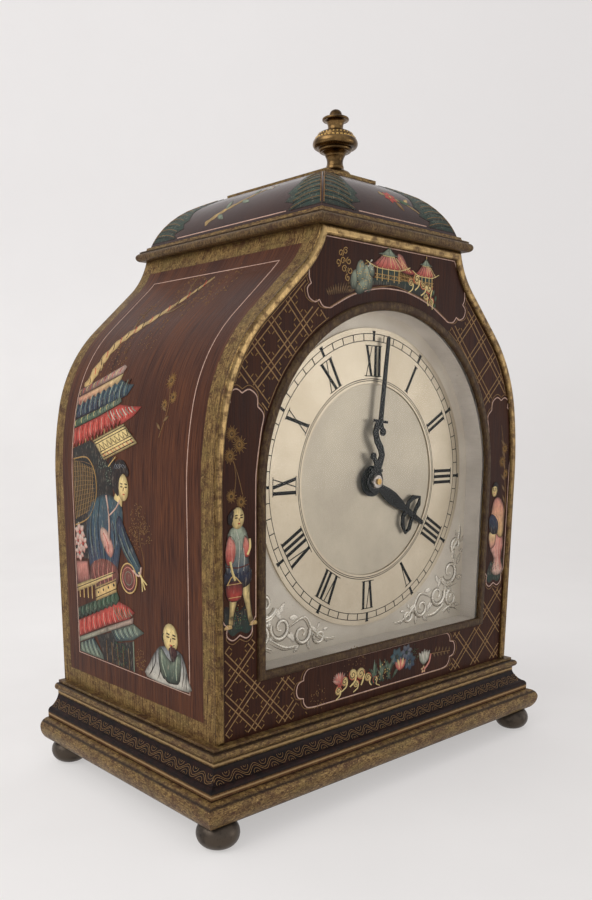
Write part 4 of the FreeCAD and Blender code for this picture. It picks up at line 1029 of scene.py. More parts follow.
def scholar(d):
    """An elderly scholar in a white robe and green vest, half length."""
    d.blob([(-6.8, 48.8), (-9, 54.6), (-13.2, 60), (-17.6, 62.6), (-27.4, 62.4), (-30.6, 59.2),
            (-32.6, 53.4), (-32.8, 48.8)], (WHITE, GREY), 2, 0.8)
    d.blob([(-16, 62.2), (-14.8, 57), (-17.4, 50.6), (-26.6, 50.2), (-28.6, 56.4), (-28, 62), (-22.2, 58)],
           (DEEP_GREEN, SAGE), 3, 0.8)
    for line in (((-13.2, 59.6), (-12.4, 55), (-9.4, 50.4)), ((-11, 57), (-10.8, 53), (-8.4, 49.8)),
                 ((-15, 57), (-15.6, 53), (-13.8, 49.4)), ((-29.4, 59.4), (-30.2, 55), (-29, 50)),
                 ((-31.6, 55.4), (-31.4, 52.4), (-31.8, 49.6)), ((-17.4, 51), (-21, 49.6), (-26, 50.4))):
        d.curve(line, 0.5, INK, layer=2, taper=-0.6)
    for line in (((-16.8, 61), (-17.2, 56.4), (-19.6, 51.6)), ((-26.6, 60.4), (-25.8, 55.6), (-26, 51.6))):
        d.curve(line, 0.55, PALE_GREEN, layer=3, taper=-0.5)
    d.blob([(-25, 58.6), (-26.4, 61.6), (-24, 64), (-21.4, 62.6), (-22.2, 59.6), (-23.6, 57.6)],
           (INK, MAROON), 3.6, 0.7)
    f = Figure(d, -22.4, 66.4, 10)
    f.head(0, 0, 0.45, 0.52, -0.12)
    f.lines((((0.42, 0.1), (0.5, -0.05), (0.42, -0.2)),), 0.6, INK, 3)
    f.lines((((-0.26, -0.22), (-0.02, -0.3)), ((-0.2, -0.4), (-0.12, -0.62))), 0.4, INK, 3.2)


# ---------------------------------------------------------------- front panel
TOP_CORNER = ([(35.6, 203.3), (38.6, 198.6), (42.6, 193.2), (43.2, 189.6), (42.2, 187.4)],
              [(42.2, 187.4), (44, 185.6), (43.2, 182.8), (40.4, 181.5), (38.3, 182.4)])
TOP_ARCH = [(38.3, 182.4), (36.4, 180.4), (33, 180.2), (30.2, 181.5), (21, 185.7), (9, 188.7), (0, 189.3)]
TOP_CARTOUCHE = joined([(-35.6, 203.3), (35.6, 203.3)], *TOP_CORNER,
                       TOP_ARCH + mirrored(TOP_ARCH)[0][1:], *mirrored(*TOP_CORNER))
SIDE_CARTOUCHE = joined(
    [(72.6, 150.6), (75, 151.8), (77.6, 150.6), (77.6, 147.6)],
    [(77.6, 147.6), (80.6, 145.2), (81.4, 141), (81.6, 110), (81.4, 80), (81.2, 76), (79.4, 74)],
    [(79.4, 74), (79.6, 70.8), (77, 69), (74, 70.4)],
    [(74, 70.4), (71, 69), (68.6, 70.8), (68.8, 74)],
    [(68.8, 74), (67.1, 76), (66.9, 80), (66.9, 118), (66.4, 127), (64.6, 138), (63.4, 143.6), (66, 146.4)],
    [(66, 146.4), (66.4, 149.8), (69.6, 151.8), (72.6, 150.6)])
BOTTOM_CORNER = ([(38, 52.3), (41.8, 51.9), (43.6, 49.8), (43.8, 48.2)],
                 [(43.8, 48.2), (46.4, 47.4), (47.4, 44.6), (46.4, 42), (43.8, 41.2)],
                 [(43.8, 41.2), (43.6, 39.4), (41.8, 37.4), (38, 36.8)])
BOTTOM_CARTOUCHE = joined([(-38, 52.3), (38, 52.3)], *BOTTOM_CORNER,
                          [(38, 36.8), (-38, 36.8)], *mirrored(*BOTTOM_CORNER))
CARTOUCHES = [TOP_CARTOUCHE, SIDE_CARTOUCHE, mirrored(SIDE_CARTOUCHE)[0], BOTTOM_CARTOUCHE]

# the lattice: where two of its double lines cross, the way from one crossing to the next along X,
# half the gap in a double line, and the left end, step and count of the points tried along a line
CROSSING_X, CROSSING_Z = -74.7, 43.6
PITCH, HALF_PAIR = 14.5, 1
FAR_LEFT, RUN_STEP, RUN_STEPS = -95.0, 0.35, 560
# the bare middle between the arch and the top cartouche
BARE_ABOVE, BARE_HALF = 160, 33


def inset(outline, distance):
    """An outline drawn in by a distance."""
    points = np.array(outline)
    along = np.roll(points, -1, axis=0) - np.roll(points, 1, axis=0)
    along /= np.hypot(*along.T)[:, None]
    return points + np.stack((-along[:, 1], along[:, 0]), -1) * distance


def lattice_dashes():
    """Four pairs of short dashes in the middle of every lozenge, as the two ends of each."""
    ends = []
    for i in range(-7, 8):
        for j in range(-2, 14):
            for shift in (0, 0.5):
                x = CROSSING_X + PITCH / 2 + (i + shift) * PITCH
                z = CROSSING_Z + (j + shift) * PITCH
                for a in (45, 135, 225, 315):
                    c, s = math.cos(math.radians(a)), math.sin(math.radians(a))
                    for slide in (-1.7, 1.7):
                        p, q = x + 2.9 * c - slide * s, z + 2.9 * s + slide * c
                        ends += [(p - 0.55 * c, q - 0.55 * s), (p + 0.75 * c, q + 0.75 * s)]
    return ends


def lattice(d):
    """Diaper of crossed double lines with dashes in each lozenge, clear of the cartouches."""
    case = [(SIDE_LINE.reach[0], CASE_LOW - 12)] + list(zip(SIDE_LINE.reach, SIDE_LINE.height))
    case += mirrored(case)[0]
    glass = [(-OPENING, SILL), (OPENING, SILL)]
    glass += [(OPENING * math.cos(math.radians(a)), DIAL_Z + OPENING * math.sin(math.radians(a)))
              for a in range(0, 181, 6)]

    def clear(points, space=1.7):
        """Which points lie on the bare lacquer, a space away from every cartouche."""
        flat = np.array(points)
        mask = inside(flat, case) & (edge_distance(flat, case) > BEAD + 0.6) & (flat[:, 1] > CASE_LOW + 1)
        mask &= ~inside(flat, glass) & (edge_distance(flat, glass) > BEAD + 0.8)
        mask &= (flat[:, 1] < BARE_ABOVE) | (np.abs(flat[:, 0]) > BARE_HALF)
        for shape in CARTOUCHES:
            mask &= ~inside(flat, shape) & (edge_distance(flat, shape) > space)
        return mask

    def runs(points, width, space=1.7, whole=False):
        """Draws the clear stretches of a line, whole or straight from end to end."""
        run = []
        for point, keep in zip(points + [points[-1]], list(clear(points, space)) + [False]):
            if keep:
                run.append(point)
                continue
            if len(run) > 3:
                d.line(run if whole else [run[0], run[-1]], width, LATTICE_GOLD, 0.3)
            run = []

    for k in range(-26, 26):
        for slope in (1, -1):
            foot = CROSSING_Z - slope * (CROSSING_X - FAR_LEFT) + k * PITCH
            for offset in (-HALF_PAIR, HALF_PAIR):
                start = foot + offset * math.sqrt(2)
                runs([(FAR_LEFT + RUN_STEP * i, start + RUN_STEP * slope * i) for i in range(RUN_STEPS)], 0.5)
    for line in (inset(case, BEAD + 0.7), inset(glass[::-1], BEAD + 0.9)):
        runs([tuple(p) for p in line], 0.3, 0.6, True)
    dashes = lattice_dashes()
    good = clear(dashes)
    for k in range(0, len(dashes), 2):
        if good[k] and good[k + 1]:
            d.line(dashes[k:k + 2], 0.42, OLD_GOLD, 0.3)


def top_scene(d, rng):
    """Two garden houses and a lattice wall, a green rock, a gilt shrub and scrolled rocks."""
    d.blob([(-23, 187.6), (-16, 190.8), (-8, 192.6), (6, 193), (16, 191.4), (23.6, 188), (14, 188.4),
            (2, 190.4), (-10, 190)], (INK, DEEP_GREEN), ink=0.3)
    for k in range(12):
        d.line([(2.2 + 0.85 * k, 192.6), (2.4 + 0.85 * k, 195.8 - 0.1 * k)], 0.3, GOLD, 0.5, layer=1)
    for z in (193.4, 194.6):
        d.line([(2, z), (12, z - 0.6)], 0.3, GOLD, 0.5, layer=1)
    pavilion(d, -3.4, 191.6, 22, 11.8)
    d.blob([(1.4, 201.6), (4.2, 201.4), (7.6, 197.8), (11.4, 196.6), (9.8, 195.4), (4.4, 195.8),
            (1.8, 197.6)], (CORAL, PINK), 2.2)
    for k in range(4):
        d.line([(3 + 1.2 * k, 200.8 - k), (4.8 + 1.5 * k, 196.4 - 0.1 * k)], 0.24, CREAM, layer=2.2)
    pavilion(d, 18, 191.6, 14.4, 10.4)
    for k, (x, z, w, h) in enumerate(((-21, 190.6, 2.2, 3.6), (-18, 193, 2.6, 4.6),
                                      (-14.6, 191.6, 2.8, 4.8), (-12.6, 194.6, 1.6, 2.4),
                                      (-17.2, 188.8, 4.2, 2.2))):
        d.fill(oval(x, z, w, h, 12 * k - 14), (DEEP_GREEN, PALE_GREEN), 1 + 0.3 * k)
    sprig(d, -16.6, 192.4, 3.8, 54, PALE_GOLD, rng, 0.4, 2.2)
    sprig(d, -13, 196.4, 1.4, 7, WHITE, rng, 0.8, 2)
    branch(d, [(-23.5, 186.4), (-24.2, 190), (-25.6, 193.4), (-26.6, 196.6)], 0.8, DULL_GOLD, gold=0.5)
    for x, z in ((-28.2, 198.6), (-25.9, 199.6), (-27.2, 196.2), (-29.4, 195.4), (-24.2, 196.4),
                 (-26.4, 193.6), (-23.4, 193.4), (-24.6, 190.8)):
        d.line(swirl(x, z, 1.3, 0.4, 40 * x, 1.2, 10), 0.42, GOLD, 0.6)
    for k in range(13):
        leaf(d, -33.6 + 0.85 * k, 184.2 + 0.15 * k, 2.6 + 0.24 * k, 0.7, 128 - 8 * k, DULL_GOLD, 0.4)
    scroll_rock(d, ((9.6, 192.6, 1.7, 8.4), (13, 194.4, 2, 12), (17, 192.8, 2, 15.6),
                    (20.6, 191.6, 1.9, 21.4), (18.8, 188.6, 1.6, 20.4), (22, 187, 1.4, 22.8)))
    for x, z in ((23.6, 191.4), (24.8, 189.4), (24.4, 186.6)):
        leaf(d, x, z, 2.6, 1.1, 60 + 8 * x, GREEN)


def side_scenes(d, rng):
    """Chrysanthemums over a figure on a mossy bank, in both tall cartouches."""
    for x, z, r in ((-77, 137.7, 2.9), (-73.9, 134.2, 3.2), (-77.8, 130.6, 2.9), (-77.4, 117.6, 2.4),
                    (-73.2, 115.6, 2.4), (77.4, 130, 2.6), (76, 124.4, 2.8), (79, 119, 2.2)):
        chrysanthemum(d, x, z, r)
    for foot, bend in (((-76, 119), (-75.4, 124)), ((-72.6, 118), (-74.4, 124))):
        d.curve([foot, bend, (-76.4, 129)], 0.34, DULL_GOLD, 0.6, taper=0.4)
    d.curve([(79.4, 98), (80.2, 108), (78.6, 117), (77, 128), (74, 140)], 0.5, DULL_GOLD, 0.5, taper=0.5)
    for k in range(6):
        leaf(d, 79.6 - 0.4 * k, 106 + 5 * k, 4.4, 1.2, 120 + 10 * (k % 3), DULL_GOLD, 0.4)
    for sign in (-1, 1):
        d.blob([(sign * 68.4, 74), (sign * 71, 80.4), (sign * 75, 78.6), (sign * 80.4, 81.2),
                (sign * 80.4, 75), (sign * 77.4, 70.6), (sign * 74, 71.8), (sign * 70.6, 70.6)],
               (DEEP_GREEN, INK), 0.6, 0.3)
        sprig(d, sign * 74.5, 76.2, 3.4, 26, GREEN, rng, 0.6, 0.6)
        sprig(d, sign * 74.5, 77.6, 3.4, 12, GOLD, rng, 0.4, 0.6)
    porter(d, -74.9, 73.2, 41)
    lady(d, 74.4, 73.4, 40)


def bottom_scene(d, rng):
    """Scrolled rocks between a coral bush and garden flowers."""
    for k in range(9):
        a = 60 + 12 * k
        leaf(d, -25.6 + 0.2 * k, 40.4 + 0.3 * k, 7.4 - 0.3 * k, 1.9, a,
             (CORAL, PINK) if k % 2 else (CORAL, ROSE), 0, 1 + 0.1 * k)
    scroll_rock(d, ((-25.4, 40.4, 1.7, -26.6), (-22, 43.4, 1.8, -23.6), (-17.4, 45.2, 2.2, -19),
                    (-12.8, 44.8, 2.3, -12.6), (-8.6, 42.6, 1.8, -6.6), (-15.4, 41.2, 1.5, -17),
                    (-4.4, 40.6, 1.4, -1.6)))
    sprig(d, -36, 40.4, 4.2, 46, DULL_GOLD, rng, 0.5)
    sprig(d, -16, 49.4, 6.4, 46, DULL_GOLD, rng, 0.5)
    for k in range(22):
        leaf(d, -7 + 0.62 * k, 38.6 + 0.5 * (k % 4), 6 + (k % 4), 1.5, 50 + 13 * (k % 7),
             (GREEN, SAGE) if k % 2 else (DEEP_GREEN, GREEN), 0, 1 + 0.05 * k)
    sprig(d, 0.6, 43, 4, 22, PALE_GOLD, rng, 0.5, 2)
    for x, z, r, pigment in ((8.6, 47.6, 3.6, TEAL), (14.6, 48.4, 3.2, (BLUE, GREY)),
                             (16.8, 44.2, 3.4, (BLUE, TEAL))):
        blossom(d, x, z, r, 7, pigment, DEEP_GREEN)
    for k in range(5):
        leaf(d, 10.8, 41.6, 5.4, 2.2, 50 + 20 * k, (PINK, CREAM) if k % 2 else (CORAL, PINK), 0,
             2 + 0.2 * k)
    for k in range(5):
        leaf(d, 26.4, 41, 6.8 - 0.4 * (k % 2), 2.6, 58 + 16 * k, WHITE if k % 2 else (SAGE, WHITE), 0,
             1 + 0.3 * k)
    d.curve([(30.6, 45), (29.6, 41.4), (26.4, 38.8)], 0.9, PINK, layer=1)
    blossom(d, 26.2, 38.9, 1.6, 5, (PINK, CREAM), CORAL)
    for k in range(10):
        leaf(d, 32.4 + 1.2 * k, 45.2 - 0.12 * k, 2.8 - 0.1 * k, 0.8, 70 if k % 2 else -60, DULL_GOLD, 0.4)
    d.line([(22, 45.4), (44, 44)], 0.34, DULL_GOLD, 0.5)
    sprig(d, 20, 47, 3, 26, GREEN, rng, 0.5)


def front_drawing():
    """Front panel: painted cartouches on a gilt lattice."""
    d = Drawing(on_level(FRONT))
    rng = random.Random(5)
    for shape in CARTOUCHES:
        d.line(shape, 0.5, ROSE, 0.1, closed=True)
        middle = np.mean(shape, axis=0)
        grown = [tuple(p + (p - middle) / np.hypot(*(p - middle)) * 1.3) for p in np.array(shape)]
        d.line(grown, 0.36, DULL_GOLD, 0.5, closed=True)
    lattice(d)
    top_scene(d, rng)
    side_scenes(d, rng)
    bottom_scene(d, rng)
    d.place_painting("front")


# ---------------------------------------------------------------- side panels
EDGE = 42.4                  # where the painting stops at the back, short of its frame


def tiles(d, count, head, foot, colours, width=0.4, layer=2):
    """Curved tile lines down a roof, between two lines given by their ends."""
    for k in range(count):
        t = (k + 0.5) / count
        (ax, az), (bx, bz) = head
        (px, pz), (qx, qz) = foot
        x, z, u, v = ax + (bx - ax) * t, az + (bz - az) * t, px + (qx - px) * t, pz + (qz - pz) * t
        d.curve([(x, z), ((x + u) / 2 + 0.5, (z + v) / 2), (u, v)], width, colours[k % len(colours)],
                layer=layer, taper=-0.3)


def seated_lady(d):
    """A lady in a blue robe leaning on the balcony, a round tray before her."""
    d.blob([(11.6, 113.6), (18, 114.4), (25, 112.6), (30.4, 108.6), (33.4, 100), (32.6, 91), (31, 84.6),
            (20, 82.6), (12.6, 84.6), (9.4, 92), (7.6, 100), (6.4, 107), (7.8, 112.4)], (BLUE, TEAL), 2,
           0.8, count=4)
    for fold in (((27, 110), (29.8, 100), (27.4, 88)), ((22, 113), (24.4, 101), (22.4, 86)),
                 ((30.6, 105), (31.8, 96), (30, 88)), ((14.4, 106), (12.6, 98), (14.6, 88)),
                 ((18.6, 96), (20, 91), (18, 85)), ((9.8, 108), (9.6, 101), (11, 94))):
        d.curve(fold, 0.5, INK, layer=2, taper=-0.6)
    for fold in (((25.2, 108), (27, 98), (25, 88)), ((12.4, 110), (11.4, 102), (12.8, 94)),
                 ((28.8, 106), (30.4, 98), (28.6, 89)), ((16.6, 100), (16.4, 93), (16, 87)),
                 ((20.6, 104), (21, 96), (20.6, 89))):
        d.curve(fold, 0.42, SAGE, layer=2, taper=-0.6)
    d.curve([(17.6, 114), (16, 106), (16.6, 97)], 1, ROSE, layer=2)
    d.curve([(17, 112), (15.4, 105), (15.8, 97)], 0.3, MAROON, layer=2.6)
    d.curve([(8, 112.8), (11, 109.6), (15.6, 106.6)], 0.8, ROSE, layer=2)
    # lap, sleeve, hand and tray
    d.blob([(30.4, 86.8), (22, 90.2), (13, 88.8), (10.6, 83.6), (13.8, 79.8), (30.4, 77.4)],
           (MAROON, ROSEWOOD), 2.4, 0.7, count=4)
    for k in range(5):
        d.curve([(28 - 3.4 * k, 87.6), (28.6 - 3.4 * k, 83.6), (26.8 - 3.2 * k, 79.2)], 0.4, PINK,
                layer=2.4, taper=-0.5)
    d.blob([(21.6, 101.6), (17, 100), (13.6, 94.2), (16, 90.4), (21, 94.4), (23, 98.6)], (PINK, ROSE), 3,
           0.7, count=4)
    d.curve([(20.4, 99.4), (17.6, 96), (17, 92.6)], 0.35, CORAL, layer=3)
    d.fill(oval(3.6, 84.2, 5.4, 5.6, 10, 24), (MAROON, ROSEWOOD), 2.8, 0.6)
    for radius, width, pigment in ((1, 0.6, PALE_GOLD), (0.74, 0.35, PINK), (0.45, 0.3, SAGE)):
        d.line(oval(3.6, 84.2, 5.4 * radius, 5.6 * radius, 10, 24), width, pigment, 0.3, closed=True,
               layer=2.8)
    d.blob([(8.6, 107), (4.2, 101), (-1.6, 94), (-5, 88.6), (-2.4, 86.4), (3, 89.8), (9, 96.4),
            (11.6, 103)], (TEAL, BLUE), 3.2, 0.8, count=4)
    for fold in (((7.4, 103), (3.4, 96), (-2.6, 89.4)), ((9.4, 100), (5.4, 94), (0.4, 89.4))):
        d.curve(fold, 0.45, SAGE, layer=3.2, taper=-0.6)
        d.curve([(x - 1, z) for x, z in fold], 0.4, INK, layer=3.2, taper=-0.6)
    d.curve([(-5.2, 89.4), (-3.6, 86), (0.4, 87.6)], 0.8, ROSE, layer=3.2)
    for tip in ((-7.2, 81.4), (-5.4, 80.6), (-8.4, 83.4)):
        d.curve([(-3.4, 87.4), (-5, 85.6), tip], 0.9, CREAM, layer=2.4, taper=0.5)
    # head
    d.fill([(10.6, 116), (6, 115.4), (7, 110.4), (12.6, 112.6)], (FLESH, CREAM), 2.2, 0.4)
    f = Figure(d, 5.8, 117.6, 10)
    f.head(0, 0, 0.36, 0.50, -0.2)
    d.blob([(9.2, 114.2), (12.4, 117), (13, 122.6), (10, 127), (5.2, 127.2), (1.8, 123.6), (2.8, 121.6),
            (5.2, 122.8), (7.6, 120.6), (8.2, 117)], INK, 3.4, 0.3, count=4)
    d.fill(oval(13.2, 126.4, 2.2, 1.9, 30, 12), INK, 3, 0.3)
    for k in range(4):
        d.curve([(3.6 + 1.8 * k, 124.6), (5.6 + 1.6 * k, 125.8), (8.4 + k, 124.2)], 0.28, GREY, layer=3.4)
    d.line([(10.6, 128.4), (15.4, 124.8)], 0.5, PALE_GOLD, 0.6, layer=3.4)


def flowering_bough(d, rng):
    """Bough over the roof."""
    bough = branch(d, [(38, 153.5), (34, 163), (28.6, 171), (21, 176.6), (13, 182.4), (5, 189.4),
                       (0.5, 194)], 5.2, PALE_GOLD, 0.8, 0.35)
    for k in range(2, len(bough) - 3, 2):
        x, z = bough[k]
        d.curve([(x - 1 + 0.3 * (k % 3), z - 0.8), (x - 0.2, z + 0.4), (x + 0.9, z + 1.6)], 0.42,
                INK if k % 4 else CORAL, layer=1)
    branch(d, [(30, 169), (33, 166), (31.6, 160)], 1.8, PALE_GOLD, 0.6, 0.3)
    branch(d, [(14, 181.8), (9.6, 181.4), (5, 184)], 1.4, OLD_GOLD, 0.6, 0.5)
    branch(d, [(8, 187), (11, 191), (12.4, 195)], 1.2, OLD_GOLD, 0.6, 0.5)
    branch(d, [(24, 174.6), (27, 178), (27.4, 184)], 1, OLD_GOLD, 0.6, 0.5)
    for x, z, r, n in ((12, 191, 6.5, 80), (1, 186, 6.5, 60), (22, 165, 6, 60), (-10, 190, 6.5, 60),
                       (34, 160, 4, 30), (26, 181, 5, 40), (8, 172, 6, 40)):
        sprig(d, x, z, r, n, DULL_GOLD, rng, 0.6)


def upper_roof(d):
    """Coral ridge, pink scallops and blue-green tiles."""
    d.fill([(EDGE, 150), (EDGE, 153), (28, 157.2), (15.4, 161.6), (13.4, 160.8), (14.4, 158.6),
            (28, 154.4)], (MAROON, ROSE), 3, 0.6)
    tiles(d, 12, ((EDGE, 152.6), (15, 161)), ((EDGE, 150.6), (15.6, 159)), (CREAM, CORAL), 0.3, 3)
    scallops = [(EDGE, 150), (EDGE, 147.2)]
    for k in range(17):
        t = (k + 0.5) / 17
        scallops.append((EDGE - 28.6 * t, 147.4 + 9 * t - 1.2 * (k % 2)))
    d.fill(scallops + [(14.2, 158.4)], (PINK, CREAM), 2.4, 0.6)
    d.fill([(EDGE, 141.8), (EDGE, 147), (28, 151.8), (14, 156.2), (9.4, 154.6), (4.8, 154.2), (7.4, 150.6),
            (12, 149.2), (26, 145.8)], (BLUE, TEAL), 2, 0.7)
    tiles(d, 22, ((EDGE, 148.6), (7, 156.6)), ((EDGE, 142.4), (7, 151)), (SAGE, INK, PALE_GREEN, INK), 0.38)
    tiles(d, 18, ((EDGE, 145.4), (9, 153.6)), ((EDGE, 142), (9, 150.6)), (INK, GREY), 0.3, 2.2)


def second_roof(d):
    """Pale ridge over coral tiles with a ragged eave."""
    d.fill([(EDGE, 138.4), (EDGE, 141.4), (26, 145.6), (11.6, 149.8), (10.4, 148.4), (12, 147.4),
            (26, 142.8)], (GREEN, SAGE), 3, 0.6)
    tiles(d, 14, ((EDGE, 141), (12, 149.4)), ((EDGE, 139), (12, 147.6)), (CREAM, DEEP_GREEN), 0.28, 3)
    ragged = [(EDGE, 138.2), (26, 142.6), (11.4, 147.2), (4, 146.6), (-3.2, 146.4), (1, 143.2)]
    for k in range(27):
        t = k / 26
        ragged.append((8.4 + (EDGE - 8.4) * t, 141.2 - 9.8 * t + (0.9 if k % 2 else -1)))
    d.fill(ragged, (CORAL, CORAL), 2, 0.6)
    tiles(d, 20, ((EDGE, 138), (4, 147)), ((EDGE, 132.4), (3, 143.4)), (PINK, MAROON, ROSE, MAROON), 0.38)
    tiles(d, 9, ((20, 144.6), (2, 146.6)), ((16, 141), (-1, 145)), (SAGE, WHITE), 0.5, 2.2)
    for k in range(16):
        x, z = EDGE - 2.2 * k, 132.6 + 0.62 * k
        d.line([(x, z), (x - 0.6, z - 2.2 - (k % 3) * 0.5)], 0.5, CORAL if k % 2 else PALE_GOLD, taper=0.6)


def room(d, rng):
    """Dark room behind the balcony, with a round window and a fretted blind."""
    d.fill([(EDGE, 88), (EDGE, 130.6), (30, 134), (26, 132.6), (16.6, 126.2), (12.6, 124), (13, 112),
            (12, 100), (14, 88)], (INK, NIGHT), ink=0.2)
    d.curve([(41.6, 100.6), (31, 104.6), (25.2, 112.6), (25.4, 121.6), (31.4, 127.4), (41.6, 126.6)], 0.6,
            GOLD, 0.5, layer=1)
    for k in range(12):
        x = 26.6 + 1.3 * k
        d.curve([(x, 108.6 - 0.5 * k), (x + 0.8, 116), (x + 0.2, 123.6 + 0.25 * k)], 0.3, GOLD, 0.5,
                layer=1)
        d.curve([(26, 109 + 1.4 * k), (34, 106 + 1.8 * k), (41.4, 103.6 + 2 * k)], 0.26, DULL_GOLD, 0.5,
                layer=1)
    for x, z, r, n in ((20, 128, 4, 40), (15, 122, 3, 30)):
        sprig(d, x, z, r, n, SAGE, rng, 0.5, 1)
    corner, across, down = (27.6, 134), (-20.6, 6.4), (-9.2, -6.9)

    def on_blind(points):
        return [(corner[0] + across[0] * p + down[0] * q, corner[1] + across[1] * p + down[1] * q)
                for p, q in points]

    d.fill(on_blind([(0, 0), (1, 0), (1.04, 1), (-0.02, 1)]), (FLESH, CREAM), 2.6, 0.8, 0.1)
    for q in (0.1, 0.22, 0.62, 0.74, 0.9):
        d.line(on_blind([(0.02, q), (1, q)]), 0.42, INK, layer=2.6)
    for k in range(8):
        p = 0.06 + 0.125 * k
        d.line(on_blind([(p, 0.58), (p + 0.05, 0.28), (p + 0.1, 0.56)]), 0.42, INK, layer=2.6)
        d.line(on_blind([(p, 0.76), (p + 0.02, 0.88)]), 0.34, CORAL, layer=2.6)


def balcony(d):
    """Flower tub, balcony rail and bench."""
    for x, z, r in ((38.6, 98, 3.6), (36.4, 93.6, 3.2), (39.4, 89.6, 3), (40.2, 94.4, 2.4)):
        blossom(d, x, z, r, 6, (PINK, WHITE), CORAL, 2)
    d.fill([(EDGE, 76), (EDGE, 86), (33.4, 87), (31.6, 79)], (MAROON, PINK), 1.6)
    d.fill([(EDGE, 73.4), (EDGE, 76.4), (13, 86.4), (12, 83.8)], (PALE_GOLD, CREAM), 3, gold=0.2)
    d.fill([(28, 71.6), (28.2, 77.2), (12.4, 83.2), (12.4, 77.6)], PALE_GOLD, 3.2, gold=0.2)
    for k in range(4):
        d.fill(oval(25.6 - 3.8 * k, 75.6 + 1.5 * k, 0.9, 0.9, 0, 8), INK, 3.6, 0)
    for line in (((EDGE, 75), (13, 85.2)), ((28, 73), (12.4, 79)), ((28, 76.4), (12.4, 82.2))):
        d.line(line, 0.34, INK, layer=3.2)
    for k in range(9):
        x = 40.4 - 3.2 * k
        d.line([(x, 71.4 + 0.3 * k), (x, 75.2 + (EDGE - x) * 0.34)], 0.55, PALE_GOLD, 0.3, layer=1)


def lower_roof(d, rng):
    """Lower roof with green scallops, its eave board and the door under it."""
    scallops = [(EDGE, 66.8), (12.4, 78), (10.6, 75.6)]
    for k in range(20):
        t = k / 19
        scallops.append((11.6 + (EDGE - 11.6) * t, 74 - 11.4 * t - 1.1 * (k % 2)))
    d.fill(scallops, (DEEP_GREEN, GREEN), 3, 0.7)
    tiles(d, 18, ((EDGE, 66.4), (12.6, 77.4)), ((EDGE, 63), (12.6, 74.4)), (SAGE, INK), 0.34, 3)
    d.fill([(EDGE, 61.6), (26, 68), (11.6, 74.2), (4, 73.2), (0.4, 71.6), (4, 68.6), (20, 63.4),
            (EDGE, 54.8)], (CORAL, CORAL), 2, 0.7)
    tiles(d, 20, ((EDGE, 61.6), (5, 73.4)), ((EDGE, 55.4), (3, 69.6)), (PINK, MAROON, ROSE, MAROON), 0.4)
    tiles(d, 7, ((16, 71.4), (3.4, 72.6)), ((12, 66.6), (1.4, 70.4)), (SAGE, GREEN), 0.6, 2.2)
    d.fill([(EDGE, 52.4), (EDGE, 54.4), (20, 62.8), (1.2, 69.6), (1.6, 67.4), (20, 60.8)],
           (PALE_GREEN, ROSE), 2.6, gold=0.1)
    d.fill([(EDGE, 48.6), (EDGE, 52), (31, 56.4), (24, 50.4), (23.4, 48.6)], (SAGE, TEAL), 2)
    tiles(d, 9, ((EDGE, 52), (30, 56)), ((EDGE, 49.2), (25, 49.4)), (INK, PALE_GREEN), 0.4)
    d.fill([(17.6, 61.6), (1.4, 67.2), (-5.6, 65), (2, 60.8), (14, 58)], (TEAL, SAGE), 2)
    tiles(d, 10, ((17, 61.6), (0, 66.8)), ((13.6, 58.6), (-2, 63.6)), (INK, PALE_GREEN), 0.4)
    d.fill([(23, 48.6), (28.6, 57.6), (16.6, 61.2), (13, 57.6), (1.8, 60.2), (1.8, 48.6)], (INK, NIGHT),
           ink=0.2)
    d.line([(1.8, 48.6), (1.8, 60.4)], 0.6, SAGE, layer=1)
    for k in range(5):
        d.line([(21 - 4 * k, 48.8), (21.4 - 4 * k, 57)], 0.34, DULL_GOLD, 0.4, layer=1)
    sprig(d, 11, 54, 4.6, 50, GREEN, rng, 0.6, 1)


def foot_scene(d, rng):
    """Shrubs, and the scholar at the foot of the panel."""
    for x, z, r, n in ((-3.4, 105.6, 5.4, 110), (0.8, 98, 4.4, 70), (-8.4, 101.6, 3.6, 50),
                       (-2.6, 54.4, 3.6, 70)):
        sprig(d, x, z, r, n, DULL_GOLD, rng, 0.55)
    d.curve([(-6, 86), (-6.6, 92), (-4, 100), (-5.4, 106)], 0.4, DULL_GOLD, 0.7, taper=0.5)
    scholar(d)


def flower_spray(d):
    """Gilt flower spray in the open part of the panel."""
    for x, z, r in ((-18, 155, 3), (-21.4, 149.4, 2.3), (-17, 147, 2)):
        chrysanthemum(d, x, z, r)
    d.curve([(-16, 136), (-18.4, 142), (-19.6, 147), (-18.4, 153)], 0.36, DULL_GOLD, 0.7, taper=0.4)
    for x, z, a in ((-16.4, 138.6, 40), (-17.6, 141.4, 150), (-18.8, 144.8, 30)):
        leaf(d, x, z, 3.6, 1.2, a, DULL_GOLD, 0.5)


def side_drawing(name, sign):
    """Side panel: a lady on a balcony among roofs, a scholar at the foot and a bough above."""
    d = Drawing(on_side(sign))
    rng = random.Random(11)
    rim, low, high, front = 43, 48, 196, -33.4
    frame_line = [(front, low), (rim, low)] + [(rim, z) for z in np.arange(54, high, 4)]
    frame_line += [(rim, high), (20, high), (-10, high), (front, high)]
    frame_line += [(front, z) for z in np.arange(192, 50, -4)]
    d.line(frame_line, 0.45, ROSE, 0.1, closed=True)
    flowering_bough(d, rng)
    upper_roof(d)
    second_roof(d)
    room(d, rng)
    balcony(d)
    seated_lady(d)
    lower_roof(d, rng)
    foot_scene(d, rng)
    flower_spray(d)
    d.place_painting(name)


# ---------------------------------------------------------------- dome and plinth
PALM_WIDTH = 19.5            # a palm leaf's reach from its hip


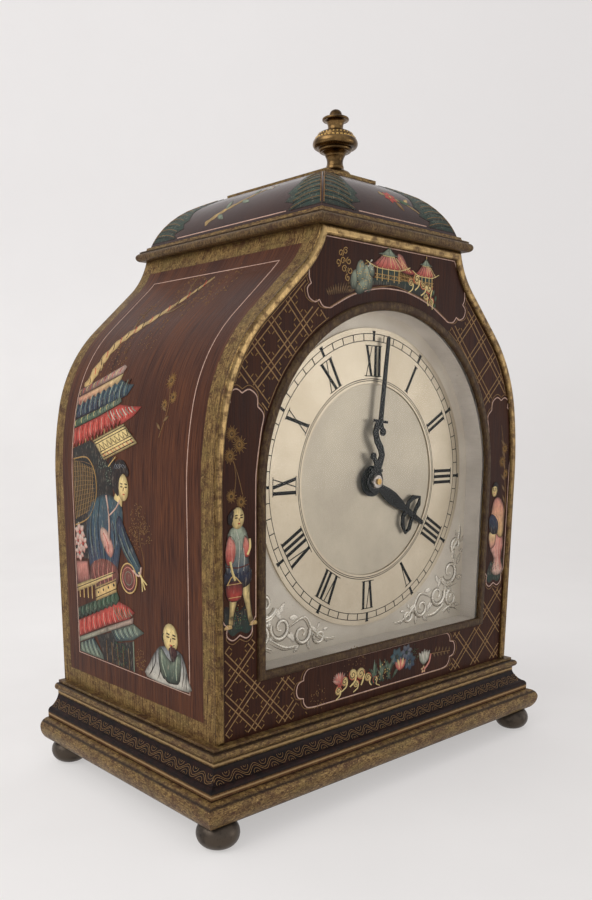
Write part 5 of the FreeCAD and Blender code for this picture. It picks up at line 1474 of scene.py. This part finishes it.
def palm(turn, half, sign):
    """Half of a palm leaf against one hip of the dome."""
    flat = on_dome(turn)

    def place(u, v, lift):
        hip = half + DOME_LINE.spot(v, 0)[0]
        return flat(sign * (hip - u), v, lift)

    d = Drawing(place)
    lobes, rise = 7, DOME_RISE - 3
    edge = [(0.25, 1.6)]
    for k in range(lobes + 1):
        t = k / lobes
        width = PALM_WIDTH * (1 - t) ** 0.55 * (0.86 + 0.22 * math.sin(math.pi * min(1, t * 2.2)))
        v = 1.6 + rise * t
        edge.append((max(0.5, width), v))
        if k < lobes:
            edge.append((max(0.5, width * 0.84), v + rise / lobes * 0.62))
    edge.append((0.25, DOME_RISE - 1))
    d.fill(edge, (DEEP_GREEN, LEAF_GREEN), 1.6, 0.5)
    for k in range(9):
        v = 3 + (DOME_RISE - 7) * k / 9
        width = 15.6 * (1 - k / 9) ** 0.6
        for drop, pigment in ((0, DULL_GOLD), (0.9, INK)):
            d.curve([(0.9, v + 1.6 - drop), (width * 0.5, v + 1.4 - drop), (width, v - 0.6 - drop)], 0.32,
                    pigment, 0.2, layer=1.6)
    d.line([(0.7, 2 + (DOME_RISE - 5) * k / 8) for k in range(9)], 0.4, DULL_GOLD, 0.5, layer=1.6)
    return d


def merged(meshes):
    """One mesh from several, with their pigments."""
    things = [bpy.data.objects.new("part", mesh) for mesh in meshes]
    for thing in things:
        bpy.context.collection.objects.link(thing)
    with bpy.context.temp_override(active_object=things[0], selected_editable_objects=things):
        bpy.ops.object.join()
    mesh = things[0].data
    bpy.data.objects.remove(things[0])
    return mesh


def dome_drawing():
    """Palm leaves on the four hips, with a blossom or a bough on each slope between them."""
    shapes, strokes = [], []
    for turn in range(4):
        half = DOME_HALF_X if turn in (0, 2) else DOME_HALF_Y
        for sign in (-1, 1):
            d = palm(turn, half, sign)
            shapes.append(d.shapes())
            strokes.append(d.strokes())
        d = Drawing(on_dome(turn))
        reach = half - PALM_WIDTH
        d.line([(-reach + 2 * reach * k / 10, 1.7) for k in range(11)], 0.5, ROSE, 0.2)
        if turn in (0, 2):
            blossom(d, 4, 12.5, 3, 6, CORAL, PALE_GOLD)
            branch(d, [(-1, 14), (6, 12), (12, 10), (18, 6.4)], 1.5, PALE_GOLD, 0.7, 0.4)
            leaf(d, 8, 11.5, 6, 2.4, -10, GREEN)
            leaf(d, 5.6, 10.6, 5, 2, -60, OLD_GOLD, 0.5)
            leaf(d, 11, 10.8, 4.6, 1.8, 40, PALE_GOLD, 0.4)
        else:
            branch(d, [(-16, 5), (-9, 9), (-2, 12), (6, 16), (12, 19.4)], 2.2, PALE_GOLD, 0.6, 0.3)
            for x, z, a in ((-6, 10.2, 100), (1, 13.4, -20), (6, 16.2, 110), (-10, 8.4, -30)):
                leaf(d, x, z, 6, 2.2, a, SAGE)
            blossom(d, 13, 19.6, 2.4, 5, WHITE, CORAL)
        shapes.append(d.shapes())
        strokes.append(d.strokes())
    piece("dome_painting", merged(shapes), "case")
    piece("dome_line_work", merged(strokes), "case")


def frieze_border():
    """Running wave with nested arcs in its hollows, one period repeated along the three sides."""
    period, swing = 8.3, 1.3
    middle = 0.55 * float(FRIEZE_LINE.length[-1])

    def place(u, v, lift):
        reach, z = FRIEZE_LINE.spot(v, lift)
        return u, -reach, z

    d = Drawing(place)
    for shift in (-0.42, 0.42):
        d.line([(period * k / 12, middle + shift + swing * math.sin(math.tau * k / 12)) for k in range(13)],
               0.26, DULL_GOLD, 0.4)
    for centre, sign in ((period * 0.25, -1), (period * 0.75, 1)):
        foot = middle + sign * 1.9
        for radius in (1.5, 0.5):
            d.line([(centre + radius * math.cos(a), foot - sign * 1.1 * radius * math.sin(a))
                    for a in (math.pi * k / 6 for k in range(7))], 0.24, DULL_GOLD, 0.4)
    motif = d.strokes()
    reach = 5.2
    corner_x, corner_y = SIDE_X + reach, FRONT - reach
    for label, length, turn, x, y in (("front", 2 * corner_x, 0, -corner_x, FRONT),
                                      ("left", BACK - corner_y, -90, -SIDE_X, BACK),
                                      ("right", BACK - corner_y, 90, SIDE_X, corner_y)):
        count = round(length / period)
        mesh = motif.copy()
        mesh.transform(Matrix.Diagonal((length / count / period, 1, 1, 1)))
        grown = ROW.grown(mesh, PAINT, Count=count, Step=length / count * MM)
        where = Matrix.Translation((x * MM, y * MM, 0)) @ Matrix.Rotation(math.radians(turn), 4, "Z")
        piece("frieze_border_" + label, grown, "case", where)


# ---------------------------------------------------------------- dial
def upright(text):
    """Strokes of a Roman numeral: each is its outline, drawn upright about its middle."""
    height, thick, thin, narrow, wide = 11.2, 1.3, 0.42, 2.35, 4.7
    widths = [narrow if letter == "I" else wide for letter in text]
    x = -sum(widths) / 2
    shapes = []

    def bar(low, high, width):
        shapes.append([(low - width / 2, 0), (low + width / 2, 0), (high + width / 2, height),
                       (high - width / 2, height)])

    for letter, width in zip(text, widths):
        middle = x + width / 2
        if letter == "I":
            bar(middle, middle, thick)
        elif letter == "V":
            bar(middle, middle - width * 0.3, thick)
            bar(middle, middle + width * 0.32, thin)
        else:
            bar(middle + width * 0.3, middle - width * 0.3, thick)
            bar(middle - width * 0.32, middle + width * 0.32, thin)
        x += width
    half = sum(widths) / 2
    for z in (0, height):
        if z or "V" not in text or len(text) > 1:
            shapes.append([(-half, z - 0.17), (half, z - 0.17), (half, z + 0.17), (-half, z + 0.17)])
    return shapes


def round_dial(points, hour, radius=0.0):
    """Points drawn upright above the dial's middle, a radius out, and turned to an hour."""
    c, s = math.cos(math.tau * hour / 12), math.sin(math.tau * hour / 12)
    return [(x * c + (z + radius) * s, DIAL_Z - x * s + (z + radius) * c) for x, z in points]


def dial_work():
    """Minute track, circles, hour numerals and five-minute wedges in black on the ring."""
    track = MINUTES.grown(bpy.data.meshes.new("none"), BLACK, Count=60, Radius=54.2 * MM, Length=2.6 * MM,
                          Width=0.34 * MM)
    piece("minute_track_marks", track, "case",
          Matrix.Translation((0, (RING_Y - 0.02) * MM, DIAL_Z * MM)))

    d = Drawing(on_level(RING_Y))
    for radius, width in ((55.5, 0.34), (52.9, 0.34), (38.9, 0.34), (38.2, 0.3)):
        d.line([(radius * math.sin(math.tau * k / 144), DIAL_Z + radius * math.cos(math.tau * k / 144))
                for k in range(144)], width, INK, closed=True)
    piece("dial_circles", d.strokes(), "case", finish=BLACK)

    d = Drawing(on_level(RING_Y))
    names = "XII I II III IIII V VI VII VIII IX X XI".split()
    for hour, text in enumerate(names):
        for shape in upright(text):
            d.fill(round_dial(shape, hour, 39.9), INK, 0.7, 0, sink=0.05)
    for hour in range(12):
        d.fill(round_dial([(-0.95, 56.6), (0.95, 56.6), (0, 53.6)], hour), INK, 0.7, 0, sink=0.05)
    piece("numerals", d.shapes(), "case", finish=BLACK)


# the chased scrolls of the right-hand corner: middle, radius, first angle and turns of each
SCROLLS = ((54.4, 76.4, 5.8, 200, 1.3), (46.4, 66.8, 5.2, 20, -1.3), (56.4, 64.4, 4, 120, 1.2),
           (35.6, 62.8, 4.4, 160, 1.2), (58.2, 88, 3.6, 250, -1.2), (26.4, 60.4, 3, 10, -1.1))
STALKS = (((60.4, 97), (59.8, 91), (55.6, 85), (58.8, 77.6)),
          ((59.4, 71.4), (52.4, 70.4), (47, 74.6)),
          ((51, 62.4), (44.4, 58.9), (38.4, 58.6)),
          ((41, 67), (34, 69), (30, 63.6), (24, 59.4), (17.6, 58.6)),
          ((60.8, 58.8), (55.4, 60.6), (50.4, 58.8)))


def spandrels():
    """Chased scrolls in the two lower corners of the dial plate, each with its shade beside it."""
    d = Drawing(on_level(PLATE_Y))
    for sign in (-1, 1):
        def cut(points, width, pigment, taper, layer):
            d.line([(sign * x, z) for x, z in points], width, pigment, taper=taper, layer=layer)

        for x, z, r, first, turns in SCROLLS:
            for start, end, width, pigment, layer in ((r, 0.9, 1.5, CHASED_LIGHT, 2.5),
                                                      (r * 1.24, 1.1, 0.42, CHASED_SHADE, 1.5),
                                                      (r * 0.78, 0.7, 0.36, CHASED_SHADE, 1.5)):
                cut(swirl(x, z, start, end, first, turns, 30), width, pigment, 0.35, layer)
            for k in range(4):
                a = math.radians(first + 62 * k)
                leaf(d, sign * (x + r * math.cos(a)), z + r * math.sin(a), r * 0.95, r * 0.44,
                     math.degrees(a) + 40 if sign > 0 else 140 - math.degrees(a), CHASED_LIGHT, 0, 2.4)
        for stalk in STALKS:
            cut(smooth(stalk), 1.2, CHASED_LIGHT, -0.7, 2.5)
            cut(smooth([(x + 0.9, z - 0.9) for x, z in stalk]), 0.4, CHASED_SHADE, -0.7, 1.5)
    piece("spandrel_leaves", d.shapes(), "case", finish=CHASED)
    piece("spandrel_scrolls", d.strokes(8), "case", finish=CHASED)


# ---------------------------------------------------------------- finial
def ball(radius, stretch=(1, 1, 1), rings=5, segments=8):
    shell = bmesh.new()
    bmesh.ops.create_uvsphere(shell, u_segments=segments, v_segments=rings, radius=radius * MM)
    bmesh.ops.scale(shell, vec=stretch, verts=shell.verts)
    mesh = bpy.data.meshes.new("ball")
    shell.to_mesh(mesh)
    shell.free()
    for poly in mesh.polygons:
        poly.use_smooth = True
    return mesh


def finial_work():
    """Thirty pearls and thirty lozenges round the finial's disc."""
    for label, z, radius, mesh in (("finial_pearls", 246.75, 7.3, ball(0.62)),
                                   ("finial_lozenges", 248.05, 6.62, ball(0.6, (0.4, 0.75, 0.95), 4, 4))):
        grown = ROUND.grown(mesh, BRASS, Count=30, Radius=radius * MM, First=0.05)
        piece(label, grown, "case", Matrix.Translation((0, FINIAL_Y * MM, z * MM)))


front_drawing()
side_drawing("left_side", -1)
side_drawing("right_side", 1)
dome_drawing()
frieze_border()
dial_work()
spandrels()
finial_work()


# ---------------------------------------------------------------- stage, light and camera
# the viewpoint of the photograph, found from the case's own edges: place in mm, angles in degrees,
# and the lens and the picture's size in its pixels
EYE_SPOT = (-255.46, -268.56, 142.95)
EYE_TURN, EYE_DIP, EYE_ROLL = -42.267, 11.619, 0.3106
FOCAL, MIDDLE_X, MIDDLE_Y = 866.81, 282.55, 595.65
PHOTO_WIDE, PHOTO_HIGH = 592, 900


def stage():
    """A pale table top that sweeps up into a wall behind the clock."""
    aim = math.radians(-42.27)
    depth = Vector((-math.sin(aim), math.cos(aim), 0))
    across = Vector((math.cos(aim), math.sin(aim), 0))
    half_width, foot, high = 4.0, 0.45, 3.0
    line = [(-3.0, 0.0), (foot, 0.0)]
    for degrees in range(6, 91, 6):
        a = math.radians(degrees)
        line.append((foot + foot * math.sin(a), foot - foot * math.cos(a)))
    line.append((2 * foot, high))
    points = [tuple(across * side + depth * d + Vector((0, 0, z)))
              for d, z in line for side in (-half_width, half_width)]
    faces = [(2 * k, 2 * k + 1, 2 * k + 3, 2 * k + 2) for k in range(len(line) - 1)]
    mesh = bpy.data.meshes.new("studio_sweep")
    mesh.from_pydata(points, [], faces)
    for poly in mesh.polygons:
        poly.use_smooth = True
    mesh.materials.append(paper_finish(across, depth))
    sweep = bpy.data.objects.new("studio_sweep", mesh)
    bpy.context.collection.objects.link(sweep)


def paper_finish(across, depth):
    """Studio paper that half glows where the camera sees it, so that it stays near white, with painted shade
    towards the right, at the cove and up the wall.
    """
    f = Finish("studio_paper")
    grain = f.noise(60.0, 2.0)
    x, y = f.axis("X"), f.axis("Y")
    aside = x * across.x + y * across.y
    behind = x * depth.x + y * depth.y
    # paper grain, and painted shade darkening the paper towards the right
    colour = f.wash(tone(240, 237, 235), (grain, 0.3, 0.7, 0.0, 1.0, (243, 240, 238)),
                    (aside, -0.1, 0.35, 0.0, 0.55, (214, 210, 208)))
    shadow = f.ramp(behind, 0.15, 0.55, 0.0, 0.15) * f.ramp(behind, 0.72, 0.88, 1.0, 0.0)
    colour = f.mix(shadow, colour, tone(200, 196, 192))
    # painted shade: a little darker up the wall
    colour = f.wash(colour, (behind, 0.80, 0.90, 0.0, 0.7, (232, 229, 228)))
    f.set(Base_Color=colour, Roughness=0.85, Specular_IOR_Level=0.1)
    camera_ray, glossy_ray, through_ray = (f.node("ShaderNodeLightPath", out="Is %s Ray" % kind)
                                           for kind in ("Camera", "Glossy", "Transmission"))
    seen = f.maths("MAXIMUM", f.maths("MAXIMUM", camera_ray, glossy_ray), through_ray)
    glow = f.node("ShaderNodeEmission", None, {"Color": colour, "Strength": 1.04})
    shown = f.node("ShaderNodeMixShader", None, {0: seen * 0.5, 1: Flow(f, f.shader.outputs[0]), 2: glow})
    f.tree.links.new(shown.socket, f.tree.nodes["Material Output"].inputs[0])
    return f.material


def soft_light(name, spot, size, power, colour):
    """A round soft lamp at a spot, turned to the clock's middle."""
    lamp = bpy.data.lights.new(name, "AREA")
    lamp.shape = "DISK"
    lamp.size = size
    lamp.energy = power
    lamp.color = colour
    thing = bpy.data.objects.new(name, lamp)
    thing.location = spot
    thing.rotation_euler = (Vector((0, 0, 0.12)) - Vector(spot)).to_track_quat("-Z", "Y").to_euler()
    bpy.context.collection.objects.link(thing)


def light():
    """A dim sky, a window on the left and the room's glow from the front."""
    world = bpy.data.worlds.new("studio")
    world.use_nodes = True
    bpy.context.scene.world = world
    sky = world.node_tree.nodes["Background"].inputs
    sky["Color"].default_value = (0.90, 0.91, 0.94, 1)
    sky["Strength"].default_value = 0.78
    soft_light("window", (-1.5, 0.2, 1.35), 1.6, 14.5, (1.0, 0.99, 0.97))
    soft_light("room", (0.9, -1.15, 0.14), 0.7, 2.6, (1.0, 0.98, 0.95))


def camera():
    """Looks at the clock from the photograph's viewpoint."""
    turn, dip, roll = map(math.radians, (EYE_TURN, EYE_DIP, EYE_ROLL))
    back = Vector((math.sin(turn) * math.cos(dip), -math.cos(turn) * math.cos(dip), math.sin(dip)))
    right = (-back).cross(Vector((0, 0, 1))).normalized()
    up = right.cross(-back)
    right, up = right * math.cos(roll) + up * math.sin(roll), up * math.cos(roll) - right * math.sin(roll)
    eye = bpy.data.cameras.new("camera")
    eye.sensor_width = 36.0
    eye.lens = FOCAL * eye.sensor_width / PHOTO_HIGH
    eye.shift_x = (PHOTO_WIDE / 2 - MIDDLE_X) / PHOTO_HIGH
    eye.shift_y = (MIDDLE_Y - PHOTO_HIGH / 2) / PHOTO_HIGH
    thing = bpy.data.objects.new("camera", eye)
    thing.matrix_world = Matrix((right, up, back)).transposed().to_4x4()
    thing.location = Vector(EYE_SPOT) * MM
    bpy.context.collection.objects.link(thing)
    bpy.context.scene.camera = thing


stage()
light()
camera()
bpy.context.scene.view_settings.view_transform = "Standard"
